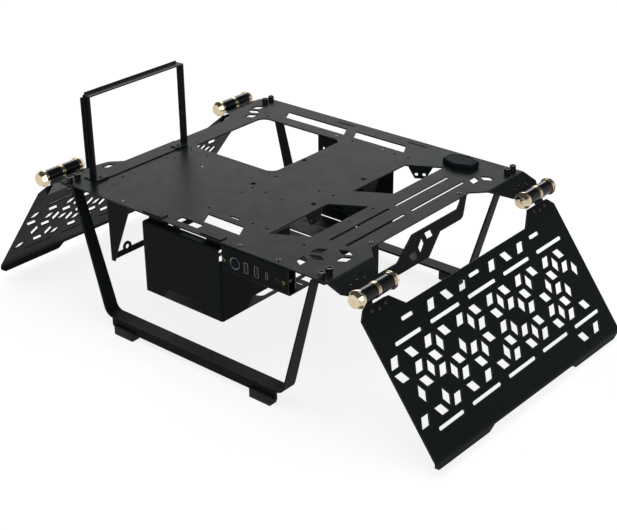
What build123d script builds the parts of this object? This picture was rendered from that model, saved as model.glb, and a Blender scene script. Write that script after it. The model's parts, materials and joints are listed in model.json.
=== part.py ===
from build123d import *
import os
from math import atan2, cos, degrees, radians, sin, sqrt, tan

# Open air test bench: a pierced main plate on two U-shaped legs, two pierced wings on friction hinges,
# a card frame, a power supply cradle, a front connector panel and two brackets. Millimetres, +Z up.
# The origin is on the table, under the middle of the plate. -Y is the front, with the connectors.

# Main plate
PLATE_TOP = 194.0
SHEET = 2.0
HALF_DEPTH = 200.0
SIDE_X = 206.0
EAR_X = 222.3
EAR_START_INSET = 100.0
EAR_FOLD_INSET = 83.0
FLANGE_DROP = 20.0
FLANGE_LENGTH = 28.0
FLANGE_SLANT = 22.0
FLANGE_CHAMFER = 7.0
FLANGE_BEND = 9.0

# Motherboard and arm-mount hole patterns
BOARD_X0 = -170.25
BOARD_Y0 = -139.0
BOARD_COLUMNS = (0.0, 154.94, 227.33, 250.19, 312.4)
BOARD_ROWS = (0.0, 124.46, 281.94)
BOARD_CORNER_SHIFT = 5.08
SMALL_BOARD_ROW = 78.74
SMALL_BOARD_COLUMNS = (154.94, 177.8)
STANDOFF_HOLE = 4.0
ARM_PITCH = 100.0
ARM_X = 27.25
ARM_HOLE = 5.2

# Plate cut-outs
COOLER_LEFT = -172.75
COOLER_RIGHT = -27.75
COOLER_FRONT = -7.0
COOLER_BACK = 135.25
COOLER_CORNER = 13.0
CABLE_LEFT = 90.0
CABLE_RIGHT = 135.0
CABLE_LENGTH = 110.0
CABLE_RISE = 26.0
CABLE_FRONTS = (-148.0, 11.0)
CABLE_SIDE_TABS = (85.5, 37.5)
CABLE_BACK_TABS = (8.0, -5.0)
CABLE_TAB_HALF = 17.5
CABLE_TAB_END_HALF = 7.5
CABLE_TAB_DEPTH = 18.5
CABLE_TAB_HOLE = 4.6
CABLE_TAB_HOLE_PITCH = 10.2
CABLE_TAB_HOLE_DROP = 13.0
WINDOW_LEAN = 11.0
WINDOW_DEPTH = 20.0
BACK_WINDOWS = ((-146.75, -39.75), (-22.75, 63.25))
BACK_WINDOWS_INSET = 35.0
FRONT_WINDOW = (7.0, 66.0)
FRONT_WINDOW_INSET = 38.0
PLUG_WINDOW_X = -4.25
PLUG_WINDOW_INSET = 16.0
PLUG_WINDOW_WIDTH = 37.0
PLUG_WINDOW_DEPTH = 12.0
TIE_SLOT_X = 29.5
TIE_SLOT_INSET = 60.0
TIE_SLOT_LENGTH = 17.0
TIE_SLOT_WIDTH = 4.0
RAIL_SLOT_WIDTH = 4.4
RAIL_SLOT_LENGTH = 114.0
RAIL_SLOTS_X = (157.5, 181.75)
RAIL_SLOTS_Y = (-59.0, 67.0)
BACK_SLITS_X = (-62.0, 62.0)
BACK_SLIT_INSET = 12.0
BACK_SLIT_LENGTH = 33.0
BACK_SLIT_WIDTH = 3.2
RHOMBUS_SIDE = 13.5
PLATE_RHOMBI = (
    (166.0, -176.0, 120),
    (165.5, -144.5, 60),
    (174.5, -160.0, 0),
    (192.0, -129.0, 0),
    (201.0, -143.5, 60),
    (189.0, 136.0, 120),
    (198.5, 151.0, 0),
    (-190.5, 129.5, 60),
    (-199.0, 145.0, 0),
    (-205.5, 160.5, 60),
    (-210.0, -125.5, 60),
)
EXTRA_HOLES = (
    (-181.0, 118.6), (-149.0, 146.0), (-159.5, -168.0), (-161.75, -53.0), (-133.0, -20.5),
    (-15.5, -79.5), (38.0, -64.0), (143.0, -61.0), (176.0, 190.0),
    (10.0, 144.3), (-181.3, 6.6), (-163.0, -19.9), (-171.5, -58.8),
)
EXTRA_HOLE = 3.2

# Wings, drawn flat with the hinge line at x = 0 and the plate side to the left
WING_REST_DROP = 53.5
WING_LENGTH = 202.5
WING_LENGTH_SKEW = 7.0
WING_TOP_EDGE = 31.5
WING_EAR_EDGE = 13.5
WING_EAR_ROOT_INSET = 75.0
WING_EAR_TIP_INSET = 55.0
WING_EAR_CHAMFER = 10.0
WING_DEPTH_BELOW_AXIS = 6.0
LIP_LENGTH = 10.3
LIP_ANGLE = 36.5
LIP_BEND = 7.0
LIP_RECESS_HALF = 85.0
LIP_RECESS_SLOPE = 10.0
LIP_RECESS_KEEP = 4.0
LIP_FRONT_STRAIGHT = 5.5
LIP_FRONT_CHAMFER = 6.5
LIP_BACK_STRAIGHT = 3.5
LIP_BACK_CHAMFER = 11.0
LATTICE_Y0 = 3.9
LATTICE_PITCH_Y = 31.3
LATTICE_FIRST_GAP = 16.0
LATTICE_LAST_GAP = 16.6
LATTICE_FIRST_COLUMN = -6
LATTICE_ROWS = (
    "xxxxxxxxxxxx",
    "xxx..xxxx.xx",
    ".xxxxxx.xxx.",
    "...xx.xxxxx.",
    "xxxxxxxxxxxx",
)
LATTICE_BETWEEN_ROWS = (
    "..x.x.x.x.x.",
    ".x.x...x.x.x",
    "x.x.x.x...x.",
    ".x...x.x.x..",
)
LONE_ROW_TOP_S = 48.0
LONE_ROW_END_INSET = 16.5
WING_SLOT_WIDTH = 4.6
WING_SLOT_FIRST_S = 65.0
WING_SLOT_END_INSET = 32.5
WING_SLOT_PITCH = 75.5
WING_SLOT_LENGTH = 58.5
WING_END_SLOT_LENGTH = 49.0
WING_SHORT_SLOT_S = 44.5
WING_SHORT_SLOT_PITCH = 133.0
WING_SHORT_SLOT_LENGTH = 22.0

# Friction hinges
HINGE_REACH = 40.4
HINGE_LIFT = 5.1
HINGE_INSET = 33.0
SLEEVE_RADIUS = 9.3
SLEEVE_LENGTH = 23.5
RING_RADIUS = 9.75
RING_LENGTH = 5.0
PIN_RADIUS = 4.0
RUNNING_FIT = 0.05
FIXED_FIT = 0.02
END_PLAY = 0.25
CAP_RADIUS = 11.3
CAP_FACE_RADIUS = 8.5
CAP_COLLAR = 4.0
CAP_RING = 1.5
CAP_RING_RADIUS = 10.5
CAP_GROOVE = 0.8
CAP_GROOVE_RADIUS = 9.8
CAP_TAPER = 6.0
CAP_BORE_DEPTH = 5.0
LEAF_THICKNESS = 3.0
LEAF_WIDTH = 37.0
LEAF_NEAR = 13.0
LEAF_WEB = 2.0
PLATE_LEAF_FAR = 30.4
WING_LEAF_FAR = 27.5
LEAF_SCREW_PITCH = 12.3
FLANGE_SCREW_S = 19.5
WING_SCREW_S = 19.0
MIDDLE_SCREW_SHIFT = 2.0
LEAF_SCREW_HEAD = 4.6
LEAF_SCREW_HEAD_HEIGHT = 0.9
LEAF_SCREW_SHANK = 2.4
HOLE_CLEARANCE = 0.1

# Legs and feet
LEG_SHEET = 2.5
LEG_TOP_X = 200.0
LEG_RAIL_X = 153.0
LEG_RAIL_BEND = 13.0
LEG_TAB_BEND = 4.0
LEG_TAPER_START = 36.0
RAIL_TOP = 23.0
RAIL_WIDTH = 20.0
LEG_TOP_WIDTH = 15.0
LEG_TAB_WIDTH = 24.0
LEG_TAB_LENGTH = 19.0
LEG_TAB_FLARE = 6.0
RAIL_LIP_BOTTOM = 9.0
RAIL_LIP_END = 143.0
FOOT_LENGTH = 34.0
FOOT_X = 119.5
FOOT_DEPTH = 13.0
FOOT_HEIGHT = 13.0
FOOT_OVERHANG = 4.0
THUMB_X = 210.0
THUMB_INSETS = (19.0, 5.7)
THUMB_RADIUS = 4.3
THUMB_HEIGHT = 7.0
THUMB_FLUTES = 8
THUMB_FLUTE_DEPTH = 0.9
THUMB_COLLAR = 1.5
THUMB_SHANK = 4.0
THUMB_SHANK_BELOW = 3.0

# Card frame
CARD_X = -186.3
CARD_WIDTH = 12.4
CARD_FRONT_INSET = 24.7
CARD_LENGTH = 165.1
CARD_TOP = 116.5
CARD_SHEET = 1.5
CARD_LIP = 4.5
CARD_TOP_LIP = 2.6
CARD_SLOT_PITCH = 20.32
CARD_SLOTS = 7
CARD_SCREW_HOLE = 3.4
CARD_FOOT = 18.5
CARD_FOOT_SCREW = 11.0
CARD_LIP_START = 18.0
CARD_POST_HOLE = 3.0
CARD_POST_HOLE_Z = 48.0
CARD_BASE_SHEET = 1.5
CARD_BASE_LEFT = -205.0
CARD_BASE_RIGHT = -181.0

# Power supply cradle
CRADLE_SHEET = 1.5
CRADLE_BEND = 2.25
CRADLE_LEFT = -71.0
CRADLE_RIGHT = 60.0
CRADLE_BACK = 138.0
CRADLE_TOP_DROP = 12.0
CRADLE_BOTTOM_DROP = 108.0
CRADLE_SHELF = 13.0
HOOK_WIDTH = 33.0
HOOK_REACH = 11.0
HOOK_SLOT_PLAY = 1.0
CRADLE_NOTCH_HEIGHT = 13.0
CRADLE_NOTCH_INSET = 29.0
CRADLE_NOTCH_SLANT = 11.0
CRADLE_FLAP_LENGTH = 125.0
CRADLE_FLAP_TOP_DROP = 27.0
CRADLE_FLAP_NOTCH_START = 44.0
CRADLE_LIP_LENGTH = 70.0
CRADLE_BACK_FLANGE = 16.0
CRADLE_FLOOR_SLITS_Y = (46.0, 78.0, 110.0)
CRADLE_SLIT_WIDTH = 4.5
CRADLE_SLIT_LENGTH = 90.0
CRADLE_WINDOW_Y = -70.0
CRADLE_WINDOW_LENGTH = 110.0
CRADLE_WINDOW_EDGE = 6.0
CRADLE_WINDOW_CORNER = 8.0
CRADLE_SCREW_X = 40.0
CRADLE_BACK_SLOT_LENGTH = 12.0
CRADLE_BACK_SLOT_WIDTH = 4.2
CRADLE_BACK_SLOT_INSET = 10.0
CRADLE_BACK_SLOT_DROP = 12.0

# Connector panel under the front edge
PANEL_LEFT = 63.0
PANEL_RIGHT = 166.0
PANEL_DROP = 37.0
PANEL_DEPTH = 40.0
PANEL_TOP_FLANGE = 16.0
PANEL_SHEET = 1.5
PANEL_BEND = 2.25
PANEL_SLIT = (150.0, 161.0)
PANEL_SLIT_INSET = 7.0
PANEL_SLIT_WIDTH = 3.0
PORT_DROP = 21.0
BOARD_GAP = 12.5
BOARD_THICKNESS = 1.6
BOARD_EDGE_DROP = 8.0
BOARD_LEFT_GAP = 1.0
BOARD_RIGHT_GAP = 2.0
USB_XS = (102.0, 118.0)
USB_WIDTH = 6.0
USB_HEIGHT = 13.2
USB_WALL = 0.5
TONGUE_SHARE = (0.12, 0.36)
TONGUE_SETBACK = 1.0
PORT_BACK = 2.0
USB_C_X = 134.0
USB_C_WIDTH = 3.4
USB_C_HEIGHT = 9.0
JACK_X = 150.0
JACK_RADIUS = 3.2
JACK_BORE = 1.8
PORT_PROUD = 0.6
PORT_CLEARANCE = 0.15
PANEL_SCREW_XS = (67.0, 159.5)
PANEL_SCREW_HEAD = 5.2
PANEL_SCREW_HEAD_HEIGHT = 1.2
PANEL_SCREW_SHANK = 2.6
SPACER_RADIUS = 2.9
BUTTON_X = 84.0
BUTTON_RADIUS = 6.6
BUTTON_RING_RADIUS = 8.0
BUTTON_PROUD = 2.2
BUTTON_RING_PROUD = 0.5
BUTTON_TRAVEL = 1.5
BUTTON_FLANGE_RADIUS = 7.4
BUTTON_FLANGE = 1.5
BUTTON_STEM_RADIUS = 2.2
BUTTON_PLAY = 0.15
SWITCH_SIZE = 6.2
SWITCH_HEIGHT = 3.8

# Plate screws, brackets and puck
PLATE_SCREW_HEAD = 5.2
PLATE_SCREW_HEAD_HEIGHT = 1.0
PLATE_SCREW_SHANK = 3.0
PANEL_PLATE_SCREWS_X = (84.8, 144.6)
SIDE_SCREW_X = 198.2
SIDE_SCREW_INSET = 8.0
SIDE_BRACKET_X = 204.5
SIDE_BRACKET_HALF = 98.0
SIDE_BRACKET_ARM = 14.5
SIDE_BRACKET_DROP = 60.0
SIDE_BRACKET_BEAM = 17.0
SIDE_BRACKET_FLANGE = 16.0
SIDE_BRACKET_STEP = 27.0
SIDE_STEP_TOP = (-46.0, -17.0)
SIDE_STEP_BOTTOM = (20.0, 42.0)
SIDE_CORNER = (6.0, 8.0)
SIDE_END_LEAN = (6.5, 3.0)
SIDE_END_CORNER = 11.0
SIDE_RHOMBUS_SIDE = 13.0
SIDE_RHOMBI = ((17.7, -28.4, -30), (2.4, -37.8, 90), (-13.2, -46.9, -30))
SIDE_HOLES = ((90.0, -24.0), (38.2, -23.8), (-11.9, -24.2), (15.6, -49.4), (-32.0, -52.0))
SIDE_HOLE = 3.2
TIE_LEFT = -134.0
TIE_TOP_RIGHT = -93.0
TIE_DROP = 86.0
TIE_BACK = -42.0
TIE_SHEET = 1.5
TIE_BAR = 8.0
TIE_FLANGE = 14.0
TIE_LOOP_Y = -173.0
TIE_LOOP_RADIUS = 7.0
TIE_LOOP_BORE = 3.2
TIE_SCREW_X = -113.0
TIE_TOE = 6.0
TIE_NECK = (13.0, 18.0)
TIE_LOOP_RISE = 2.0
TIE_FLANGE_INSET = 4.0
PUCK_X = 147.3
PUCK_INSET = 33.0
PUCK_HALF_WIDTH = 22.8
PUCK_SIDE_HALF = 9.2
PUCK_POINT = 17.6
PUCK_HEIGHT = 7.6
PUCK_CORNER = 1.5
PUCK_CHAMFER = 1.2

# Places worked out from the sizes above
PLATE_BOTTOM = PLATE_TOP - SHEET
FRONT = -HALF_DEPTH
CARD_FRONT_Y = FRONT + CARD_FRONT_INSET
CARD_BACK_Y = CARD_FRONT_Y + CARD_LENGTH
PUCK_Y = HALF_DEPTH - PUCK_INSET
EAR_START_Y = HALF_DEPTH - EAR_START_INSET
EAR_FOLD_Y = HALF_DEPTH - EAR_FOLD_INSET
HINGE_Y = HALF_DEPTH - HINGE_INSET
THUMB_YS = [HALF_DEPTH - inset for inset in THUMB_INSETS]
DROP_COS = cos(radians(FLANGE_DROP))
DROP_SIN = sin(radians(FLANGE_DROP))
AXIS_X = EAR_X + HINGE_REACH * DROP_COS + HINGE_LIFT * DROP_SIN
AXIS_Z = PLATE_TOP - HINGE_REACH * DROP_SIN + HINGE_LIFT * DROP_COS
FLANGE_PLANE = Plane(
    origin=(EAR_X, 0, PLATE_TOP), x_dir=(DROP_COS, 0, -DROP_SIN), z_dir=(DROP_SIN, 0, DROP_COS)
)
AXIS_PLANE = Plane(origin=(AXIS_X, 0, AXIS_Z), x_dir=(DROP_COS, 0, -DROP_SIN), z_dir=(DROP_SIN, 0, DROP_COS))
RIGHT_WING = Pos(AXIS_X, 0, AXIS_Z) * Rot(0, WING_REST_DROP, 0)
HALF_TURN = Rot(0, 0, 180)
WING_FOLD = Pos(WING_LENGTH, 0, -WING_DEPTH_BELOW_AXIS) * Rot(
    0, 0, -degrees(atan2(WING_LENGTH_SKEW, 2 * HALF_DEPTH))
)
WING_SLOT_LAST_S = WING_LENGTH - WING_SLOT_END_INSET
LONE_ROW_BOTTOM_S = WING_LENGTH - LONE_ROW_END_INSET
LATTICE_S0 = WING_SLOT_FIRST_S + LATTICE_FIRST_GAP
LATTICE_PITCH_S = (WING_SLOT_LAST_S - LATTICE_LAST_GAP - LATTICE_S0) / (len(LATTICE_ROWS) - 1)
LATTICE_STRETCH = LATTICE_PITCH_S * sqrt(3) / LATTICE_PITCH_Y
HOOK_Y = FRONT + CRADLE_SHELF
CRADLE_TOP = PLATE_TOP - CRADLE_TOP_DROP
CRADLE_BOTTOM = PLATE_TOP - CRADLE_BOTTOM_DROP
CRADLE_FLAP_TOP = PLATE_TOP - CRADLE_FLAP_TOP_DROP
PORT_Z = PLATE_TOP - PORT_DROP
PANEL_BOTTOM = PLATE_TOP - PANEL_DROP
BOARD_FRONT = FRONT + PANEL_SHEET + BOARD_GAP


def polygon(*points):
    """A flat face through the given points."""
    return Polygon(*points, align=None)


def box(x0, x1, y0, y1, z0, z1):
    """A block between two corners."""
    return Pos((x0 + x1) / 2, (y0 + y1) / 2, (z0 + z1) / 2) * Box(x1 - x0, y1 - y0, z1 - z0)


def rod(x, y, z0, z1, radius):
    """An upright round bar."""
    return Pos(x, y, (z0 + z1) / 2) * Cylinder(radius, z1 - z0)


def front_rod(x, z, y0, y1, radius):
    """A round bar that points from front to back."""
    return Pos(x, (y0 + y1) / 2, z) * Rot(90, 0, 0) * Cylinder(radius, y1 - y0)


def facing_front(face, y0, y1):
    """Stand a face drawn as (x, z) upright and give it the depth from y0 to y1."""
    return Pos(0, y0, 0) * extrude(Plane.XZ * face, y1 - y0, dir=(0, 1, 0))


def facing_side(face, x0, x1):
    """Stand a face drawn as (y, z) upright and give it the width from x0 to x1."""
    return Pos(x0, 0, 0) * extrude(Plane.YZ * face, x1 - x0, dir=(1, 0, 0))


def lying_flat(face, z0, z1):
    """Give a face drawn as (x, y) the height from z0 to z1."""
    return Pos(0, 0, z0) * extrude(face, z1 - z0, dir=(0, 0, 1))


def rhombus(x, y, angle, side=RHOMBUS_SIDE, stretch=1.0):
    """A 60 degree rhombus with its long diagonal at the given angle, then stretched along X."""
    turn = radians(angle)
    long_half = side * cos(radians(30))
    short_half = side / 2
    corners = []
    for along, across in ((long_half, 0), (0, short_half), (-long_half, 0), (0, -short_half)):
        corner_x = along * cos(turn) - across * sin(turn)
        corner_y = along * sin(turn) + across * cos(turn)
        corners.append((x + stretch * corner_x, y + corner_y))
    return polygon(*corners)


def wing_rhombus(s, y, angle):
    """A rhombus of a wing, stretched along the wing as its lattice is."""
    return rhombus(s, y, angle, stretch=LATTICE_STRETCH)


def leaning_window(left, right, middle_y, lean):
    """A parallelogram window whose back edge is shifted along X by the lean."""
    front_y = middle_y - WINDOW_DEPTH / 2
    back_y = middle_y + WINDOW_DEPTH / 2
    return polygon((left, front_y), (right, front_y), (right + lean, back_y), (left + lean, back_y))


def slot_y(x, y, length, width):
    """A round-ended slot along Y."""
    return Pos(x, y) * Rot(0, 0, 90) * SlotOverall(length, width)


def hook_spans():
    """The two X spans in which the cradle hooks over the front edge of the plate."""
    return ((CRADLE_LEFT, CRADLE_LEFT + HOOK_WIDTH), (CRADLE_RIGHT - HOOK_WIDTH, CRADLE_RIGHT))


def leaf_screw_places(row, toward):
    """Places of the three screws of a leaf, with the middle one shifted along the leaf."""
    return (
        (row, -LEAF_SCREW_PITCH),
        (row + toward * MIDDLE_SCREW_SHIFT, 0.0),
        (row, LEAF_SCREW_PITCH),
    )


def thumb_places():
    """Places of the eight thumb screws that hold the legs."""
    return [(sx * THUMB_X, sy * y) for sx in (-1, 1) for sy in (-1, 1) for y in THUMB_YS]


def plate_screw_places():
    """Places of the plain screws through the main plate, with the thickness each one clamps below it."""
    return (
        [(x, FRONT + PANEL_TOP_FLANGE / 2, PANEL_SHEET) for x in PANEL_PLATE_SCREWS_X]
        + [(SIDE_SCREW_X, end * (SIDE_BRACKET_HALF - SIDE_SCREW_INSET), SHEET) for end in (-1, 1)]
    )


def hidden_screw_places():
    """Places of the dark screws that hold the cradle and the tie bracket under the plate."""
    cradle_y = CRADLE_BACK + CRADLE_BACK_FLANGE / 2
    cradle_x = (CRADLE_LEFT + CRADLE_RIGHT) / 2
    return (
        [(cradle_x + side * CRADLE_SCREW_X, cradle_y, CRADLE_SHEET) for side in (-1, 1)]
        + [(TIE_SCREW_X, FRONT + TIE_SHEET + TIE_FLANGE / 2, TIE_SHEET)]
        + [(TIE_SCREW_X, TIE_BACK - TIE_SHEET - TIE_FLANGE / 2, TIE_SHEET)]
    )


def card_screw_places():
    """Places of the two screws at the feet of the card frame."""
    inset = CARD_SHEET + CARD_FOOT_SCREW
    return [(CARD_X, CARD_FRONT_Y + inset), (CARD_X, CARD_BACK_Y - inset)]


def standoff_places():
    """Places of the standoff holes; the front corner of the widest board size sits a little further out."""
    places = [(column, row) for row in BOARD_ROWS for column in BOARD_COLUMNS]
    places.remove((BOARD_COLUMNS[-1], BOARD_ROWS[0]))
    places.append((BOARD_COLUMNS[-1], BOARD_ROWS[0] - BOARD_CORNER_SHIFT))
    places += [(column, SMALL_BOARD_ROW) for column in SMALL_BOARD_COLUMNS]
    return [(BOARD_X0 + column, BOARD_Y0 + row) for column, row in places]


def cable_cutout(front):
    """One slanted cable cut-out."""
    return polygon(
        (CABLE_LEFT, front),
        (CABLE_RIGHT, front + CABLE_RISE),
        (CABLE_RIGHT, front + CABLE_RISE + CABLE_LENGTH),
        (CABLE_LEFT, front + CABLE_LENGTH),
    )


def plate_holes():
    """Every hole in the flat of the main plate."""
    cooler = Pos((COOLER_LEFT + COOLER_RIGHT) / 2, (COOLER_FRONT + COOLER_BACK) / 2) * RectangleRounded(
        COOLER_RIGHT - COOLER_LEFT, COOLER_BACK - COOLER_FRONT, COOLER_CORNER
    )
    holes = [cooler]
    holes += [cable_cutout(front) for front in CABLE_FRONTS]
    holes += [
        leaning_window(left, right, HALF_DEPTH - BACK_WINDOWS_INSET, -WINDOW_LEAN)
        for left, right in BACK_WINDOWS
    ]
    holes.append(leaning_window(*FRONT_WINDOW, FRONT + FRONT_WINDOW_INSET, -WINDOW_LEAN))
    plug_middle = Pos(PLUG_WINDOW_X, FRONT + PLUG_WINDOW_INSET)
    holes.append(plug_middle * Rectangle(PLUG_WINDOW_WIDTH, PLUG_WINDOW_DEPTH))
    holes.append(Pos(TIE_SLOT_X, FRONT + TIE_SLOT_INSET) * SlotOverall(TIE_SLOT_LENGTH, TIE_SLOT_WIDTH))
    holes += [
        Pos(x, HALF_DEPTH - BACK_SLIT_INSET) * SlotOverall(BACK_SLIT_LENGTH, BACK_SLIT_WIDTH)
        for x in BACK_SLITS_X
    ]
    holes += [
        slot_y(x, y, RAIL_SLOT_LENGTH, RAIL_SLOT_WIDTH) for x in RAIL_SLOTS_X for y in RAIL_SLOTS_Y
    ]
    holes += [rhombus(x, y, angle) for x, y, angle in PLATE_RHOMBI]
    for left, right in hook_spans():
        middle = Pos((left + right) / 2, HOOK_Y - CRADLE_SHEET / 2)
        holes.append(middle * Rectangle(right - left + 2 * HOOK_SLOT_PLAY, CRADLE_SHEET + 2 * HOOK_SLOT_PLAY))
    holes += [Pos(x, y) * Circle(STANDOFF_HOLE / 2) for x, y in standoff_places()]
    holes += [
        Pos(ARM_X + sx * ARM_PITCH / 2, sy * ARM_PITCH / 2) * Circle(ARM_HOLE / 2)
        for sx in (-1, 1) for sy in (-1, 1)
    ]
    holes += [Pos(x, y) * Circle(EXTRA_HOLE / 2) for x, y in EXTRA_HOLES]
    holes += [Pos(x, y) * Circle(THUMB_SHANK / 2 + HOLE_CLEARANCE) for x, y in thumb_places()]
    screws = plate_screw_places() + hidden_screw_places()
    holes += [Pos(x, y) * Circle(PLATE_SCREW_SHANK / 2 + HOLE_CLEARANCE) for x, y, _ in screws]
    holes += [Pos(x, y) * Circle(PLATE_SCREW_SHANK / 2 + HOLE_CLEARANCE) for x, y in card_screw_places()]
    return holes


def hinge_flange(end):
    """The sloping flange of one right-hand ear, with its three screw holes; end is -1 front, 1 back."""
    outline = polygon(
        (0, end * EAR_FOLD_Y),
        (FLANGE_LENGTH, end * (EAR_FOLD_Y + FLANGE_SLANT)),
        (FLANGE_LENGTH, end * (HALF_DEPTH - FLANGE_CHAMFER)),
        (FLANGE_LENGTH - FLANGE_CHAMFER, end * HALF_DEPTH),
        (0, end * HALF_DEPTH),
    )
    holes = [
        Pos(s, end * HINGE_Y + y) * Circle(LEAF_SCREW_SHANK / 2 + HOLE_CLEARANCE)
        for s, y in leaf_screw_places(FLANGE_SCREW_S, -1)
    ]
    return extrude(FLANGE_PLANE * (outline - holes), SHEET, dir=-FLANGE_PLANE.z_dir)


def cable_tab(middle):
    """The face of a tie tab that hangs from the X axis, with two holes."""
    face = polygon(
        (middle - CABLE_TAB_HALF, 0),
        (middle + CABLE_TAB_HALF, 0),
        (middle + CABLE_TAB_END_HALF, -CABLE_TAB_DEPTH),
        (middle - CABLE_TAB_END_HALF, -CABLE_TAB_DEPTH),
    )
    holes = [
        Pos(middle + side * CABLE_TAB_HOLE_PITCH / 2, -CABLE_TAB_HOLE_DROP) * Circle(CABLE_TAB_HOLE / 2)
        for side in (-1, 1)
    ]
    return face - holes


def cable_tabs(front, side_middle, back_middle):
    """The two tie tabs folded down from one cable cut-out: one on its left edge, one on its slanted edge."""
    left_face = Pos(0, PLATE_TOP) * cable_tab(front + side_middle)
    left_tab = facing_side(left_face, CABLE_LEFT - SHEET, CABLE_LEFT)
    slant = Plane(
        origin=((CABLE_LEFT + CABLE_RIGHT) / 2, front + CABLE_LENGTH + CABLE_RISE / 2, PLATE_TOP),
        x_dir=(CABLE_RIGHT - CABLE_LEFT, CABLE_RISE, 0),
        z_dir=(CABLE_RISE, CABLE_LEFT - CABLE_RIGHT, 0),
    )
    slant_tab = extrude(slant * cable_tab(back_middle), SHEET, dir=-slant.z_dir)
    return [left_tab, slant_tab]


def rounded_fold(sheet, place, angle, radius, thickness=SHEET):
    """Round both sides of a fold along the Y axis of a place; angle is how far the sheet turns down there."""
    inner_x = -thickness * tan(radians(angle) / 2)
    for x, z, bend in ((0, 0, radius), (inner_x, -thickness, radius - thickness)):
        line = place * Line((x, -2 * HALF_DEPTH, z), (x, 2 * HALF_DEPTH, z))
        edges = [
            edge for edge in sheet.edges()
            if max(line.distance_to(edge @ end) for end in (0, 0.5, 1)) < 0.01
        ]
        sheet = fillet(edges, bend)
    return sheet


def main_plate():
    """The main plate: one folded sheet with its cut-outs, four hinge flanges and cable tabs."""
    quarter = [(EAR_X, HALF_DEPTH), (EAR_X, EAR_FOLD_Y), (SIDE_X, EAR_START_Y)]
    right_side = [(x, -y) for x, y in quarter] + [(x, y) for x, y in reversed(quarter)]
    left_side = [(-x, y) for x, y in reversed(right_side)]
    flat = polygon(*right_side, *left_side) - plate_holes()
    sheet = lying_flat(flat, PLATE_BOTTOM, PLATE_TOP)
    flanges = [hinge_flange(end) for end in (-1, 1)]
    flanges += [mirror(flange, about=Plane.YZ) for flange in flanges]
    folded = sheet + flanges
    for turn in (Rot(0, 0, 0), HALF_TURN):
        folded = rounded_fold(folded, turn * Pos(EAR_X, 0, PLATE_TOP), FLANGE_DROP, FLANGE_BEND)
    tabs = [
        tab for places in zip(CABLE_FRONTS, CABLE_SIDE_TABS, CABLE_BACK_TABS) for tab in cable_tabs(*places)
    ]
    return folded + tabs


def wing_outline():
    """The flat outline of a wing with its two hinge ears."""
    quarter = [
        (WING_TOP_EDGE, HALF_DEPTH - WING_EAR_ROOT_INSET),
        (WING_EAR_EDGE, HALF_DEPTH - WING_EAR_TIP_INSET),
        (WING_EAR_EDGE, HALF_DEPTH - WING_EAR_CHAMFER),
        (WING_EAR_EDGE + WING_EAR_CHAMFER, HALF_DEPTH),
    ]
    far = [(WING_LENGTH + end * WING_LENGTH_SKEW / 2, end * HALF_DEPTH) for end in (1, -1)]
    return polygon(*quarter, *far, *[(s, -y) for s, y in reversed(quarter)])


def lattice_place(column, row):
    """The (s, y) place of a lattice point of the wing pattern."""
    return LATTICE_S0 + row * LATTICE_PITCH_S, LATTICE_Y0 + column * LATTICE_PITCH_Y


def wing_rhombi():
    """The rhombus holes of a wing: an open tiling of cubes with some left closed."""
    holes = []
    for row, marks in enumerate(LATTICE_ROWS):
        for index, mark in enumerate(marks):
            column = LATTICE_FIRST_COLUMN + index
            if mark == "x":
                s, y = lattice_place(column, row)
                holes.append(wing_rhombus(s, y, 60 if (column + row) % 2 else 120))
    for row, marks in enumerate(LATTICE_BETWEEN_ROWS):
        for index, mark in enumerate(marks):
            if mark == "x":
                s, y = lattice_place(LATTICE_FIRST_COLUMN + index + 0.5, row + 0.5)
                holes.append(wing_rhombus(s, y, 0))
    for column in (-3, -2, -1, 1, 2, 3):
        y = lattice_place(column, 0)[1]
        holes.append(wing_rhombus(LONE_ROW_TOP_S, y, 60 if column % 2 == 0 else 120))
    for column in (4, 5):
        y = lattice_place(column, 0)[1]
        holes.append(wing_rhombus(LONE_ROW_BOTTOM_S, y, 60 if column % 2 == 0 else 120))
    return holes


def wing_slots():
    """The round-ended slots of a wing."""
    holes = []
    for s in (WING_SLOT_FIRST_S, WING_SLOT_LAST_S):
        holes += [slot_y(s, k * WING_SLOT_PITCH, WING_SLOT_LENGTH, WING_SLOT_WIDTH) for k in (-1, 0, 1, 2)]
        shift = (WING_SLOT_LENGTH - WING_END_SLOT_LENGTH) / 2
        holes.append(slot_y(s, -2 * WING_SLOT_PITCH + shift, WING_END_SLOT_LENGTH, WING_SLOT_WIDTH))
    holes += [
        slot_y(WING_SHORT_SLOT_S, k * WING_SHORT_SLOT_PITCH, WING_SHORT_SLOT_LENGTH, WING_SLOT_WIDTH)
        for k in (-1, 0, 1)
    ]
    return holes


def wing_lip():
    """The lip folded under the far edge of a wing, cut back in its middle and at its ends."""
    halves = []
    for end, straight, slanted in (
        (1, LIP_BACK_STRAIGHT, LIP_BACK_CHAMFER), (-1, LIP_FRONT_STRAIGHT, LIP_FRONT_CHAMFER)
    ):
        halves.append([
            (LIP_RECESS_KEEP, end * LIP_RECESS_HALF),
            (LIP_LENGTH, end * (LIP_RECESS_HALF + LIP_RECESS_SLOPE)),
            (LIP_LENGTH, end * (HALF_DEPTH - slanted)),
            (straight, end * HALF_DEPTH),
            (straight, end * (HALF_DEPTH + LIP_LENGTH)),
            (0, end * (HALF_DEPTH + LIP_LENGTH)),
        ])
    outline = polygon(*halves[0], *reversed(halves[1]))
    lip = WING_FOLD * Rot(0, LIP_ANGLE, 0) * lying_flat(outline, -SHEET, 0)
    return lip & Box(4 * WING_LENGTH, 2 * HALF_DEPTH, 4 * WING_LENGTH)


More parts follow.
